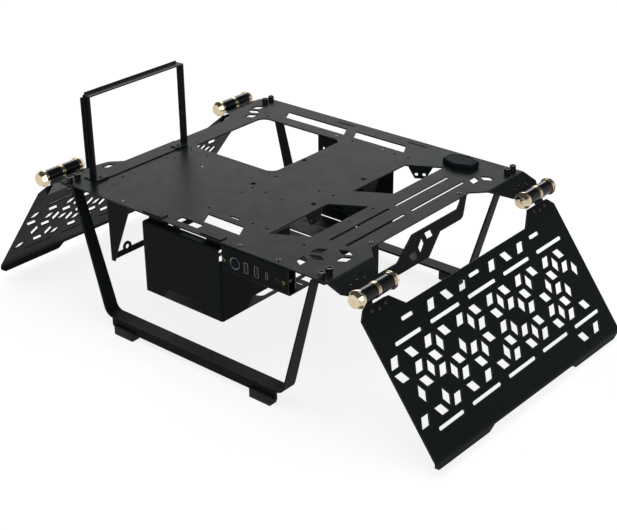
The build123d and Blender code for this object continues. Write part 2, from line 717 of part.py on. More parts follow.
def wing():
    """A wing in its flat pose, hinge line on the Y axis."""
    holes = wing_rhombi() + wing_slots()
    for end in (-1, 1):
        holes += [
            Pos(s, end * HINGE_Y + y) * Circle(LEAF_SCREW_SHANK / 2 + HOLE_CLEARANCE)
            for s, y in leaf_screw_places(WING_SCREW_S, 1)
        ]
    flat = wing_outline() - holes
    sheet = lying_flat(flat, -WING_DEPTH_BELOW_AXIS - SHEET, -WING_DEPTH_BELOW_AXIS) + wing_lip()
    return rounded_fold(sheet, WING_FOLD, LIP_ANGLE, LIP_BEND)


def leaf(top, far, outward, screws, arm_from, arm_to, bore):
    """A hinge leaf with its sleeve, its plate on the +X side.

    top is the height of the leaf's upper face over the hinge line, outward picks the end (-1 or 1)
    on which the sleeve sits, and arm_from and arm_to bound the sleeve along the hinge line.
    """
    bottom = top - LEAF_THICKNESS
    plate = box(LEAF_NEAR, far, -LEAF_WIDTH / 2, LEAF_WIDTH / 2, bottom, top)
    web_foot = LEAF_NEAR - LEAF_WEB
    profile = polygon(
        (0, bottom), (LEAF_NEAR, bottom), (LEAF_NEAR, top), (web_foot, top),
        (SLEEVE_RADIUS * 0.85, -SLEEVE_RADIUS * 0.5), (0, -SLEEVE_RADIUS * 0.6),
    )
    y0, y1 = sorted((outward * arm_from, outward * min(arm_to, LEAF_WIDTH / 2)))
    arm = facing_front(profile, y0, y1)
    ends = sorted((outward * arm_from, outward * arm_to))
    body = plate + arm + front_rod(0, 0, ends[0], ends[1], SLEEVE_RADIUS)
    body -= front_rod(0, 0, ends[0] - 1, ends[1] + 1, bore)
    holes = [
        rod(x, y, bottom - 1, top + 1, LEAF_SCREW_SHANK / 2 + HOLE_CLEARANCE) for x, y in screws
    ]
    return body - holes


def wing_leaf(end):
    """The leaf that carries a wing, in the wing's flat pose and centred on its hinge."""
    top = -WING_DEPTH_BELOW_AXIS - SHEET
    screws = leaf_screw_places(WING_SCREW_S, 1)
    start = RING_LENGTH / 2 + END_PLAY
    stop = RING_LENGTH / 2 + SLEEVE_LENGTH - END_PLAY
    return leaf(top, WING_LEAF_FAR, end, screws, start, stop, PIN_RADIUS + RUNNING_FIT)


def plate_leaf(end):
    """The leaf under a flange of the plate, drawn with its plate on +X and then turned to face the plate."""
    top = -HINGE_LIFT - SHEET
    screws = [(HINGE_REACH - s, -y) for s, y in leaf_screw_places(FLANGE_SCREW_S, -1)]
    start = RING_LENGTH / 2
    stop = RING_LENGTH / 2 + SLEEVE_LENGTH
    return HALF_TURN * leaf(top, PLATE_LEAF_FAR, end, screws, start, stop, PIN_RADIUS + FIXED_FIT)


def hinge_cap(end):
    """A faceted end cap with a ring, a groove and a blind bore for the pin, on the given end of the hinge."""
    inner = RING_LENGTH / 2 + SLEEVE_LENGTH
    ring = rod(0, 0, 0, CAP_RING, CAP_RING_RADIUS)
    groove = rod(0, 0, CAP_RING, CAP_RING + CAP_GROOVE, CAP_GROOVE_RADIUS)
    collar = lying_flat(RegularPolygon(CAP_RADIUS, 24), CAP_RING + CAP_GROOVE, CAP_COLLAR)
    taper = loft([
        Pos(0, 0, CAP_COLLAR) * RegularPolygon(CAP_RADIUS, 8),
        Pos(0, 0, CAP_COLLAR + CAP_TAPER) * RegularPolygon(CAP_FACE_RADIUS, 8),
    ])
    cap = ring + groove + collar + taper - rod(0, 0, -1, CAP_BORE_DEPTH, PIN_RADIUS + FIXED_FIT)
    return Rot(90 if end < 0 else -90, 0, 0) * Pos(0, 0, inner) * cap


def hinge_pin():
    """The pin through a hinge, with both ends in the caps."""
    half = RING_LENGTH / 2 + SLEEVE_LENGTH + CAP_BORE_DEPTH
    return front_rod(0, 0, -half, half, PIN_RADIUS)


def hinge_ring():
    """The bright ring between the two sleeves."""
    half = RING_LENGTH / 2
    bore = front_rod(0, 0, -half - 1, half + 1, PIN_RADIUS + FIXED_FIT)
    return front_rod(0, 0, -half, half, RING_RADIUS) - bore


def leaf_screw(clamped):
    """A small screw standing on z = 0 with its shank down through the clamped sheets."""
    head = rod(0, 0, 0, LEAF_SCREW_HEAD_HEIGHT, LEAF_SCREW_HEAD / 2)
    return head + rod(0, 0, -clamped, 0, LEAF_SCREW_SHANK / 2)


def flange_screws():
    """The twelve screws on the four flanges of the plate."""
    right = [
        FLANGE_PLANE.location * Pos(s, end * HINGE_Y + y, 0) * leaf_screw(SHEET + LEAF_THICKNESS)
        for end in (-1, 1) for s, y in leaf_screw_places(FLANGE_SCREW_S, -1)
    ]
    return right + [HALF_TURN * screw for screw in right]


def wing_screws():
    """The six screws of one wing, in its flat pose."""
    return [
        Pos(s, end * HINGE_Y + y, -WING_DEPTH_BELOW_AXIS) * leaf_screw(SHEET + LEAF_THICKNESS)
        for end in (-1, 1) for s, y in leaf_screw_places(WING_SCREW_S, 1)
    ]


def leg(end):
    """A U-shaped leg strap with its rail, lip and two top tabs; end is -1 for the front, 1 for the back."""
    top = PLATE_BOTTOM - LEG_SHEET
    rail_middle = RAIL_TOP - LEG_SHEET / 2
    tab_middle = PLATE_BOTTOM - LEG_SHEET / 2
    bends = FilletPolyline(
        (0, rail_middle), (LEG_RAIL_X, rail_middle), (LEG_TOP_X, tab_middle),
        (LEG_TOP_X + LEG_TAB_LENGTH, tab_middle), radius=[LEG_RAIL_BEND, LEG_TAB_BEND],
    )
    side = facing_front(trace(bends, LEG_SHEET), -HALF_DEPTH, -HALF_DEPTH + LEG_TAB_WIDTH)
    waist = polygon(
        (-HALF_DEPTH, RAIL_TOP - LEG_SHEET),
        (-HALF_DEPTH + RAIL_WIDTH, RAIL_TOP - LEG_SHEET),
        (-HALF_DEPTH + RAIL_WIDTH, LEG_TAPER_START),
        (-HALF_DEPTH + LEG_TOP_WIDTH, top - LEG_TAB_FLARE),
        (-HALF_DEPTH + LEG_TAB_WIDTH, top),
        (-HALF_DEPTH + LEG_TAB_WIDTH, PLATE_BOTTOM),
        (-HALF_DEPTH, PLATE_BOTTOM),
    )
    side &= facing_side(waist, 0, EAR_X)
    holes = [
        rod(THUMB_X, -y, top - 1, PLATE_BOTTOM + 1, THUMB_SHANK / 2 + HOLE_CLEARANCE) for y in THUMB_YS
    ]
    side -= holes
    lip = box(0, RAIL_LIP_END, -HALF_DEPTH, -HALF_DEPTH + LEG_SHEET, RAIL_LIP_BOTTOM, RAIL_TOP - LEG_SHEET)
    side += lip
    strap = side + mirror(side, about=Plane.YZ)
    return strap if end < 0 else mirror(strap, about=Plane.XZ)


def foot(side, end):
    """A rubber foot pushed up over the lip of a rail."""
    face_y = -HALF_DEPTH - FOOT_OVERHANG
    block = box(-FOOT_LENGTH / 2, FOOT_LENGTH / 2, face_y, face_y + FOOT_DEPTH, 0, FOOT_HEIGHT)
    groove = box(
        -FOOT_LENGTH, FOOT_LENGTH, -HALF_DEPTH, -HALF_DEPTH + LEG_SHEET, RAIL_LIP_BOTTOM, FOOT_HEIGHT + 1
    )
    shaped = chamfer(block.edges().filter_by(Axis.Z), 1.0) - groove
    placed = Pos(side * FOOT_X, 0, 0) * shaped
    return placed if end < 0 else mirror(placed, about=Plane.XZ)


def thumb_screws():
    """The eight fluted thumb screws that hold the legs under the plate."""
    grip = []
    valley = THUMB_RADIUS - THUMB_FLUTE_DEPTH
    for k in range(THUMB_FLUTES):
        for step, radius in ((-0.34, THUMB_RADIUS), (0.34, THUMB_RADIUS), (0.5, valley)):
            angle = radians(360 * (k + step) / THUMB_FLUTES)
            grip.append((radius * cos(angle), radius * sin(angle)))
    knob = lying_flat(polygon(*grip), THUMB_COLLAR, THUMB_HEIGHT) + rod(0, 0, 0, THUMB_COLLAR, THUMB_RADIUS)
    shank = rod(0, 0, -SHEET - LEG_SHEET - THUMB_SHANK_BELOW, 0, THUMB_SHANK / 2)
    screw = knob + shank
    return [Pos(x, y, PLATE_TOP) * screw for x, y in thumb_places()]


def card_frame():
    """The card frame: one strap bent to an arch with an outward lip along its left edge and two feet."""
    left = CARD_X - CARD_WIDTH / 2
    right = CARD_X + CARD_WIDTH / 2
    top = PLATE_TOP + CARD_TOP
    foot_top = PLATE_TOP + CARD_BASE_SHEET + CARD_SHEET
    foot_bottom = PLATE_TOP + CARD_BASE_SHEET
    front_inside = CARD_FRONT_Y + CARD_SHEET
    back_inside = CARD_BACK_Y - CARD_SHEET
    arch = polygon(
        (CARD_FRONT_Y, PLATE_TOP), (CARD_FRONT_Y, top), (CARD_BACK_Y, top), (CARD_BACK_Y, PLATE_TOP),
        (back_inside, PLATE_TOP), (back_inside, foot_bottom), (back_inside - CARD_FOOT, foot_bottom),
        (back_inside - CARD_FOOT, foot_top), (back_inside, foot_top), (back_inside, top - CARD_SHEET),
        (front_inside, top - CARD_SHEET), (front_inside, foot_top), (front_inside + CARD_FOOT, foot_top),
        (front_inside + CARD_FOOT, foot_bottom), (front_inside, foot_bottom), (front_inside, PLATE_TOP),
    )
    frame = facing_side(arch, left, right)
    post_bottom = PLATE_TOP + CARD_LIP_START
    lips = [
        box(left, left + CARD_SHEET, CARD_FRONT_Y - CARD_LIP, CARD_FRONT_Y, post_bottom, top - CARD_TOP_LIP),
        box(left, left + CARD_SHEET, CARD_BACK_Y, CARD_BACK_Y + CARD_LIP, post_bottom, top - CARD_TOP_LIP),
        box(
            left, left + CARD_SHEET, CARD_FRONT_Y + CARD_TOP_LIP, CARD_BACK_Y - CARD_TOP_LIP,
            top, top + CARD_TOP_LIP,
        ),
    ]
    middle = (CARD_FRONT_Y + CARD_BACK_Y) / 2
    holes = [
        rod(CARD_X, middle + (k - (CARD_SLOTS - 1) / 2) * CARD_SLOT_PITCH, top - CARD_SHEET - 1, top + 1,
            CARD_SCREW_HOLE / 2)
        for k in range(CARD_SLOTS)
    ]
    holes += [
        rod(x, y, foot_bottom - 1, foot_top + 1, PLATE_SCREW_SHANK / 2 + HOLE_CLEARANCE)
        for x, y in card_screw_places()
    ]
    post_hole_z = PLATE_TOP + CARD_POST_HOLE_Z
    holes.append(front_rod(CARD_X, post_hole_z, back_inside - 1, CARD_BACK_Y + 1, CARD_POST_HOLE / 2))
    return frame + lips - holes


def card_frame_base():
    """The strip under the feet of the card frame."""
    strip = box(
        CARD_BASE_LEFT, CARD_BASE_RIGHT, CARD_FRONT_Y + CARD_SHEET, CARD_BACK_Y - CARD_SHEET,
        PLATE_TOP, PLATE_TOP + CARD_BASE_SHEET,
    )
    return strip - [
        rod(x, y, PLATE_TOP - 1, PLATE_TOP + CARD_BASE_SHEET + 1, PLATE_SCREW_SHANK / 2 + HOLE_CLEARANCE)
        for x, y in card_screw_places()
    ]


def plate_screw(clamped):
    """A low round-headed screw standing on z = 0 with its shank down through the clamped sheets."""
    head = rod(0, 0, 0, PLATE_SCREW_HEAD_HEIGHT, PLATE_SCREW_HEAD / 2)
    return head + rod(0, 0, -clamped, 0, PLATE_SCREW_SHANK / 2)


def card_frame_screws():
    """The two screws through the feet of the card frame, its base strip and the plate."""
    seat = PLATE_TOP + CARD_BASE_SHEET + CARD_SHEET
    clamped = CARD_BASE_SHEET + CARD_SHEET + SHEET
    return [Pos(x, y, seat) * plate_screw(clamped) for x, y in card_screw_places()]


def bright_screws():
    """The bright screws on the plate that hold the connector panel and the side bracket."""
    return [Pos(x, y, PLATE_TOP) * plate_screw(SHEET + below) for x, y, below in plate_screw_places()]


def hidden_screws():
    """The dark screws driven up from below through the cradle and the tie bracket into the plate."""
    return [
        Pos(x, y, PLATE_BOTTOM - below) * Rot(180, 0, 0) * plate_screw(below + SHEET)
        for x, y, below in hidden_screw_places()
    ]


def cradle_notch(start, stop):
    """The slant-sided notch in the lower edge of a cradle wall, drawn from that edge up."""
    return polygon(
        (start, -1), (start, 0), (start + CRADLE_NOTCH_SLANT, CRADLE_NOTCH_HEIGHT),
        (stop - CRADLE_NOTCH_SLANT, CRADLE_NOTCH_HEIGHT), (stop, 0), (stop, -1),
    )


def cradle_walls():
    """The front wall and the side flap: one strip bent round the corner, with a notch in each."""
    wall_middle = FRONT + CRADLE_SHEET / 2
    flap_middle = CRADLE_RIGHT - CRADLE_SHEET / 2
    flap_end = FRONT + CRADLE_FLAP_LENGTH
    strip = FilletPolyline(
        (CRADLE_LEFT, wall_middle), (flap_middle, wall_middle), (flap_middle, flap_end), radius=CRADLE_BEND
    )
    walls = lying_flat(trace(strip, CRADLE_SHEET), CRADLE_BOTTOM, CRADLE_FLAP_TOP)
    front_notch = cradle_notch(CRADLE_LEFT + CRADLE_NOTCH_INSET, CRADLE_RIGHT - CRADLE_NOTCH_INSET)
    flap_notch = cradle_notch(FRONT + CRADLE_FLAP_NOTCH_START, flap_end - CRADLE_NOTCH_SLANT)
    rise = Pos(0, 0, CRADLE_BOTTOM)
    walls -= rise * facing_front(front_notch, FRONT - 1, FRONT + CRADLE_SHEET + 1)
    walls -= rise * facing_side(flap_notch, CRADLE_RIGHT - CRADLE_SHEET - 1, CRADLE_RIGHT + 1)
    return walls


def cradle_shelf():
    """The top of the front wall, folded back to a shelf, with the two hooks that go over the plate."""
    relief = CRADLE_RIGHT - CRADLE_BEND - CRADLE_SHEET / 2
    fold = box(CRADLE_LEFT, relief, FRONT, FRONT + CRADLE_SHEET, CRADLE_FLAP_TOP, CRADLE_TOP)
    fold += box(CRADLE_LEFT, relief, FRONT, HOOK_Y, CRADLE_TOP - CRADLE_SHEET, CRADLE_TOP)
    turned = Pos(0, FRONT, CRADLE_TOP) * Rot(0, 0, -90)
    fold = rounded_fold(fold, turned, 90, CRADLE_BEND + CRADLE_SHEET / 2, CRADLE_SHEET)
    shelf_front = HOOK_Y - CRADLE_SHELF / 2
    shelf = box(relief, CRADLE_RIGHT, shelf_front, HOOK_Y, CRADLE_TOP - CRADLE_SHEET, CRADLE_TOP)
    hooks = []
    for left, right in hook_spans():
        hooks.append(box(left, right, HOOK_Y - CRADLE_SHEET, HOOK_Y, CRADLE_TOP, PLATE_TOP + CRADLE_SHEET))
        hooks.append(
            box(left, right, HOOK_Y - HOOK_REACH, HOOK_Y - CRADLE_SHEET, PLATE_TOP, PLATE_TOP + CRADLE_SHEET)
        )
    return fold + shelf + hooks


def cradle_floor():
    """The floor of the cradle, with a fan window, three slits and a rounded corner under the bend."""
    width = CRADLE_RIGHT - CRADLE_LEFT
    middle = (CRADLE_LEFT + CRADLE_RIGHT) / 2
    corner = (CRADLE_RIGHT, FRONT)
    outline = polygon((CRADLE_LEFT, FRONT), corner, (CRADLE_RIGHT, CRADLE_BACK), (CRADLE_LEFT, CRADLE_BACK))
    nearest = outline.vertices().sort_by_distance((*corner, 0))[0]
    outline = fillet(nearest, CRADLE_BEND + CRADLE_SHEET / 2)
    outline -= Pos(middle, CRADLE_WINDOW_Y) * RectangleRounded(
        width - 2 * CRADLE_WINDOW_EDGE, CRADLE_WINDOW_LENGTH, CRADLE_WINDOW_CORNER
    )
    outline -= [
        Pos(middle, y) * SlotOverall(CRADLE_SLIT_LENGTH, CRADLE_SLIT_WIDTH) for y in CRADLE_FLOOR_SLITS_Y
    ]
    return lying_flat(outline, CRADLE_BOTTOM, CRADLE_BOTTOM + CRADLE_SHEET)


def cradle_back():
    """The back wall of the cradle with two slots, and the flange that is screwed under the plate."""
    width = CRADLE_RIGHT - CRADLE_LEFT
    slot_z = CRADLE_TOP - CRADLE_BOTTOM - CRADLE_BACK_SLOT_DROP
    slots = [
        Pos(side * (width / 2 - CRADLE_BACK_SLOT_INSET), slot_z) * Rot(0, 0, 90)
        * SlotOverall(CRADLE_BACK_SLOT_LENGTH, CRADLE_BACK_SLOT_WIDTH)
        for side in (-1, 1)
    ]
    height = PLATE_BOTTOM - CRADLE_BOTTOM
    face = Pos(0, height / 2) * Rectangle(width, height) - slots
    wall = Pos((CRADLE_LEFT + CRADLE_RIGHT) / 2, 0, CRADLE_BOTTOM) * facing_front(
        face, CRADLE_BACK - CRADLE_SHEET, CRADLE_BACK
    )
    flange = box(
        CRADLE_LEFT, CRADLE_RIGHT, CRADLE_BACK, CRADLE_BACK + CRADLE_BACK_FLANGE,
        PLATE_BOTTOM - CRADLE_SHEET, PLATE_BOTTOM,
    )
    holes = [
        rod(x, y, PLATE_BOTTOM - CRADLE_SHEET - 1, PLATE_BOTTOM + 1, PLATE_SCREW_SHANK / 2 + HOLE_CLEARANCE)
        for x, y, _ in hidden_screw_places()[:2]
    ]
    return wall + flange - holes


def psu_cradle():
    """The power supply cradle: one folded sheet, hooked over the front edge and screwed at the back."""
    return cradle_walls() + cradle_shelf() + cradle_floor() + cradle_back()


def io_bracket():
    """The connector panel: a channel with its face to the front, holes for the ports and a top flange."""
    face_middle = FRONT + PANEL_SHEET / 2
    top_middle = PLATE_BOTTOM - PANEL_SHEET / 2
    low_middle = PANEL_BOTTOM + PANEL_SHEET / 2
    bends = FilletPolyline(
        (FRONT + PANEL_TOP_FLANGE, top_middle), (face_middle, top_middle), (face_middle, low_middle),
        (FRONT + PANEL_DEPTH, low_middle), radius=PANEL_BEND,
    )
    section = trace(bends, PANEL_SHEET)
    bracket = facing_side(section, PANEL_LEFT, PANEL_RIGHT)
    y0 = FRONT - 1
    y1 = FRONT + PANEL_SHEET + 1
    openings = [front_rod(BUTTON_X, PORT_Z, y0, y1, BUTTON_RING_RADIUS + FIXED_FIT)]
    gap = PORT_CLEARANCE
    for x, wide, tall in port_sizes():
        half_wide = wide / 2 + gap
        half_tall = tall / 2 + gap
        openings.append(box(x - half_wide, x + half_wide, y0, y1, PORT_Z - half_tall, PORT_Z + half_tall))
    openings.append(front_rod(JACK_X, PORT_Z, y0, y1, JACK_RADIUS + gap))
    openings += [front_rod(x, PORT_Z, y0, y1, PANEL_SCREW_SHANK / 2 + HOLE_CLEARANCE) for x in PANEL_SCREW_XS]
    openings += [
        rod(x, FRONT + PANEL_TOP_FLANGE / 2, PLATE_BOTTOM - PANEL_SHEET - 1, PLATE_BOTTOM + 1,
            PLATE_SCREW_SHANK / 2 + HOLE_CLEARANCE)
        for x in PANEL_PLATE_SCREWS_X
    ]
    slit_back = FRONT + PANEL_DEPTH - PANEL_SLIT_INSET
    slit_front = slit_back - PANEL_SLIT_WIDTH
    slit = box(*PANEL_SLIT, slit_front, slit_back, PANEL_BOTTOM - 1, PANEL_BOTTOM + PANEL_SHEET + 1)
    return bracket - openings - slit


def port_sizes():
    """Middle, width and height of each rectangular port."""
    return [(x, USB_WIDTH, USB_HEIGHT) for x in USB_XS] + [(USB_C_X, USB_C_WIDTH, USB_C_HEIGHT)]


def io_board():
    """The small circuit board behind the panel, on two spacers."""
    board = box(
        PANEL_LEFT + BOARD_LEFT_GAP, PANEL_RIGHT - BOARD_RIGHT_GAP,
        BOARD_FRONT, BOARD_FRONT + BOARD_THICKNESS,
        PANEL_BOTTOM + PANEL_SHEET, PLATE_TOP - BOARD_EDGE_DROP,
    )
    return board - [
        front_rod(x, PORT_Z, BOARD_FRONT - 1, BOARD_FRONT + BOARD_THICKNESS + 1,
                  PANEL_SCREW_SHANK / 2 + HOLE_CLEARANCE)
        for x in PANEL_SCREW_XS
    ]


def port_shell(x, wide, tall):
    """A metal port shell with a tongue, from the board to just proud of the panel."""
    front = FRONT - PORT_PROUD
    shell = box(x - wide / 2, x + wide / 2, front, BOARD_FRONT, PORT_Z - tall / 2, PORT_Z + tall / 2)
    shell -= box(
        x - wide / 2 + USB_WALL, x + wide / 2 - USB_WALL, front - PORT_PROUD, BOARD_FRONT - PORT_BACK,
        PORT_Z - tall / 2 + USB_WALL, PORT_Z + tall / 2 - USB_WALL,
    )
    thin = wide * TONGUE_SHARE[0]
    high = tall * TONGUE_SHARE[1]
    tongue_front = front + TONGUE_SETBACK
    tongue = box(x - thin, x + thin, tongue_front, BOARD_FRONT - PORT_BACK, PORT_Z - high, PORT_Z + high)
    return shell + tongue


def audio_jack():
    """The round audio jack."""
    barrel = front_rod(JACK_X, PORT_Z, FRONT - PORT_PROUD, BOARD_FRONT, JACK_RADIUS)
    return barrel - front_rod(JACK_X, PORT_Z, FRONT - 2 * PORT_PROUD, BOARD_FRONT - PORT_BACK, JACK_BORE)


def panel_screws():
    """The two bright screws on the panel face, through the spacers into the board."""
    length = PANEL_SHEET + BOARD_GAP + BOARD_THICKNESS
    return [
        front_rod(x, PORT_Z, FRONT - PANEL_SCREW_HEAD_HEIGHT, FRONT, PANEL_SCREW_HEAD / 2)
        + front_rod(x, PORT_Z, FRONT, FRONT + length, PANEL_SCREW_SHANK / 2)
        for x in PANEL_SCREW_XS
    ]


def board_spacers():
    """The two spacers between the panel and its board."""
    return [
        front_rod(x, PORT_Z, FRONT + PANEL_SHEET, BOARD_FRONT, SPACER_RADIUS)
        - front_rod(x, PORT_Z, FRONT, BOARD_FRONT + 1, PANEL_SCREW_SHANK / 2 + HOLE_CLEARANCE)
        for x in PANEL_SCREW_XS
    ]


def button_light_ring():
    """The round guide of the power button, fixed in the panel."""
    ring = front_rod(BUTTON_X, PORT_Z, FRONT - BUTTON_RING_PROUD, FRONT + PANEL_SHEET, BUTTON_RING_RADIUS)
    return ring - front_rod(
        BUTTON_X, PORT_Z, FRONT - BUTTON_PROUD, FRONT + BUTTON_PROUD, BUTTON_RADIUS + BUTTON_PLAY
    )


def power_button():
    """The power button: a cap in its guide, a stop flange behind the panel and a stem to the switch."""
    flange_front = FRONT + PANEL_SHEET + BUTTON_PLAY
    stem_end = BOARD_FRONT - SWITCH_HEIGHT - BUTTON_TRAVEL - BUTTON_PLAY
    cap = front_rod(BUTTON_X, PORT_Z, FRONT - BUTTON_PROUD, flange_front, BUTTON_RADIUS)
    flange = front_rod(BUTTON_X, PORT_Z, flange_front, flange_front + BUTTON_FLANGE, BUTTON_FLANGE_RADIUS)
    stem = front_rod(BUTTON_X, PORT_Z, flange_front + BUTTON_FLANGE, stem_end, BUTTON_STEM_RADIUS)
    return cap + flange + stem


def push_switch():
    """The push switch on the board behind the power button."""
    half = SWITCH_SIZE / 2
    front = BOARD_FRONT - SWITCH_HEIGHT
    return box(BUTTON_X - half, BUTTON_X + half, front, BOARD_FRONT, PORT_Z - half, PORT_Z + half)


def side_bracket():
    """The bracket under the right edge: two arms, a stepped beam with rhombus holes, and two top flanges."""
    top = PLATE_BOTTOM
    low = PLATE_TOP - SIDE_BRACKET_DROP
    half = SIDE_BRACKET_HALF
    arm = SIDE_BRACKET_ARM
    high = low + SIDE_BRACKET_STEP
    beam = SIDE_BRACKET_BEAM
    corner_y, corner_z = SIDE_CORNER
    lean_y, lean_z = SIDE_END_LEAN
    face = polygon(
        (-half, top), (-half + arm, top), (-half + arm, low + beam),
        (SIDE_STEP_TOP[0], low + beam), (SIDE_STEP_TOP[1], high + beam),
        (half - arm - corner_y, high + beam), (half - arm, high + beam + corner_z), (half - arm, top),
        (half, top), (half - lean_y, high + lean_z), (half - SIDE_END_CORNER, high),
        (SIDE_STEP_BOTTOM[1], high), (SIDE_STEP_BOTTOM[0], low),
        (-half + SIDE_END_CORNER, low), (-half + lean_z, low + lean_y),
    )
    face -= [rhombus(y, PLATE_TOP + drop, angle, SIDE_RHOMBUS_SIDE) for y, drop, angle in SIDE_RHOMBI]
    face -= [Pos(y, PLATE_TOP + drop) * Circle(SIDE_HOLE / 2) for y, drop in SIDE_HOLES]
    bracket = facing_side(face, SIDE_BRACKET_X - SHEET, SIDE_BRACKET_X)
    for y0 in (-half, half - arm):
        bracket += box(
            SIDE_BRACKET_X - SIDE_BRACKET_FLANGE, SIDE_BRACKET_X - SHEET, y0, y0 + arm, top - SHEET, top
        )
    return bracket - [
        rod(SIDE_SCREW_X, end * (half - SIDE_SCREW_INSET), top - SHEET - 1, top + 1,
            PLATE_SCREW_SHANK / 2 + HOLE_CLEARANCE)
        for end in (-1, 1)
    ]


def tie_bracket():
    """The cable bracket under the front left: two hanging triangles joined by a bar with a tie loop."""
    top = PLATE_BOTTOM
    low = PLATE_TOP - TIE_DROP
    triangle = polygon(
        (TIE_LEFT, top), (TIE_TOP_RIGHT, top), (TIE_LEFT + TIE_NECK[0], low + TIE_NECK[1]),
        (TIE_LEFT + TIE_TOE, low), (TIE_LEFT, low),
    )
    front = facing_front(triangle, FRONT, FRONT + TIE_SHEET)
    back = facing_front(triangle, TIE_BACK - TIE_SHEET, TIE_BACK)
    bar_face = polygon((FRONT, low), (TIE_BACK, low), (TIE_BACK, low + TIE_BAR), (FRONT, low + TIE_BAR))
    loop_middle = Pos(TIE_LOOP_Y, low + TIE_BAR + TIE_LOOP_RISE)
    bar_face += loop_middle * Circle(TIE_LOOP_RADIUS)
    bar_face -= loop_middle * Circle(TIE_LOOP_BORE)
    bar = facing_side(bar_face, TIE_LEFT, TIE_LEFT + TIE_SHEET)
    flange_right = TIE_TOP_RIGHT - TIE_FLANGE_INSET
    back_start = TIE_BACK - TIE_SHEET
    flanges = [
        box(TIE_LEFT, flange_right, FRONT + TIE_SHEET, FRONT + TIE_SHEET + TIE_FLANGE, top - TIE_SHEET, top),
        box(TIE_LEFT, flange_right, back_start - TIE_FLANGE, back_start, top - TIE_SHEET, top),
    ]
    holes = [
        rod(x, y, top - TIE_SHEET - 1, top + 1, PLATE_SCREW_SHANK / 2 + HOLE_CLEARANCE)
        for x, y, _ in hidden_screw_places()[2:]
    ]
    return front + back + bar + flanges - holes


def plate_puck():
    """The six-sided puck that rests on the plate."""
    side = [(PUCK_HALF_WIDTH, -PUCK_SIDE_HALF), (PUCK_HALF_WIDTH, PUCK_SIDE_HALF), (0, PUCK_POINT)]
    base = polygon(*side, *[(-x, -y) for x, y in side])
    body = lying_flat(fillet(base.vertices(), PUCK_CORNER), 0, PUCK_HEIGHT)
    body = chamfer(body.edges().group_by(Axis.Z)[-1], PUCK_CHAMFER)
    return Pos(PUCK_X, PUCK_Y, PLATE_TOP) * body


def hinge_places():
    """Name, end and placing of each hinge; the left pair is the right pair given a half turn."""
    for side, turn in (("right", Rot(0, 0, 0)), ("left", HALF_TURN)):
        for end in (-1, 1):
            world_end = end if side == "right" else -end
            name = f"{side}_{'front' if world_end < 0 else 'rear'}_hinge"
            yield name, end, turn


def build():
    """Every node of the bench by name."""
    nodes = {
        "main_plate": main_plate(),
        "front_leg": leg(-1),
        "rear_leg": leg(1),
        "leg_thumb_screws": thumb_screws(),
        "card_frame": card_frame(),
        "card_frame_base": card_frame_base(),
        "card_frame_screws": card_frame_screws(),
        "psu_cradle": psu_cradle(),
        "io_bracket": io_bracket(),
        "io_board": io_board(),
        "io_board_spacers": board_spacers(),
        "io_panel_screws": panel_screws(),
        "usb_a_ports": [port_shell(x, USB_WIDTH, USB_HEIGHT) for x in USB_XS],
        "usb_c_port": port_shell(USB_C_X, USB_C_WIDTH, USB_C_HEIGHT),
        "audio_jack": audio_jack(),
        "power_button": power_button(),
        "button_light_ring": button_light_ring(),
        "push_switch": push_switch(),
        "side_bracket": side_bracket(),
        "tie_bracket": tie_bracket(),
        "plate_screws": bright_screws(),
        "under_screws": hidden_screws(),
        "plate_puck": plate_puck(),
        "right_wing": RIGHT_WING * wing(),
        "left_wing": mirror(RIGHT_WING * wing(), about=Plane.YZ),
        "right_wing_screws": [RIGHT_WING * screw for screw in wing_screws()],
        "left_wing_screws": [HALF_TURN * RIGHT_WING * screw for screw in wing_screws()],
        "flange_screws": flange_screws(),
    }
    for side in (-1, 1):
        for end in (-1, 1):
            name = f"{'front' if end < 0 else 'rear'}_{'left' if side < 0 else 'right'}_foot"
            nodes[name] = foot(side, end)
    for name, end, turn in hinge_places():
        middle = Pos(AXIS_X, end * HINGE_Y, AXIS_Z)
        flange_middle = AXIS_PLANE.location * Pos(0, end * HINGE_Y, 0)
        wing_middle = RIGHT_WING * Pos(0, end * HINGE_Y, 0)
        nodes[f"{name}_plate_leaf"] = turn * flange_middle * plate_leaf(end)
        nodes[f"{name}_wing_leaf"] = turn * wing_middle * wing_leaf(end)
        nodes[f"{name}_pin"] = turn * middle * hinge_pin()
        nodes[f"{name}_ring"] = turn * middle * hinge_ring()
        nodes[f"{name}_caps"] = [turn * middle * hinge_cap(side) for side in (-1, 1)]
    return nodes


def main():
    """Write one file for each node."""
    os.makedirs("parts", exist_ok=True)
    for name, shape in build().items():
        solids = shape if isinstance(shape, list) else [shape]
        export_step(Compound(children=solids) if len(solids) > 1 else solids[0], f"parts/{name}.step")


main()
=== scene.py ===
"""Open air test bench: finishes, fine pieces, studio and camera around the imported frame."""

import json
import logging
import math
from dataclasses import dataclass, field
from enum import Enum
from typing import Callable, Sequence

import bmesh
import bpy
from mathutils import Matrix, Vector

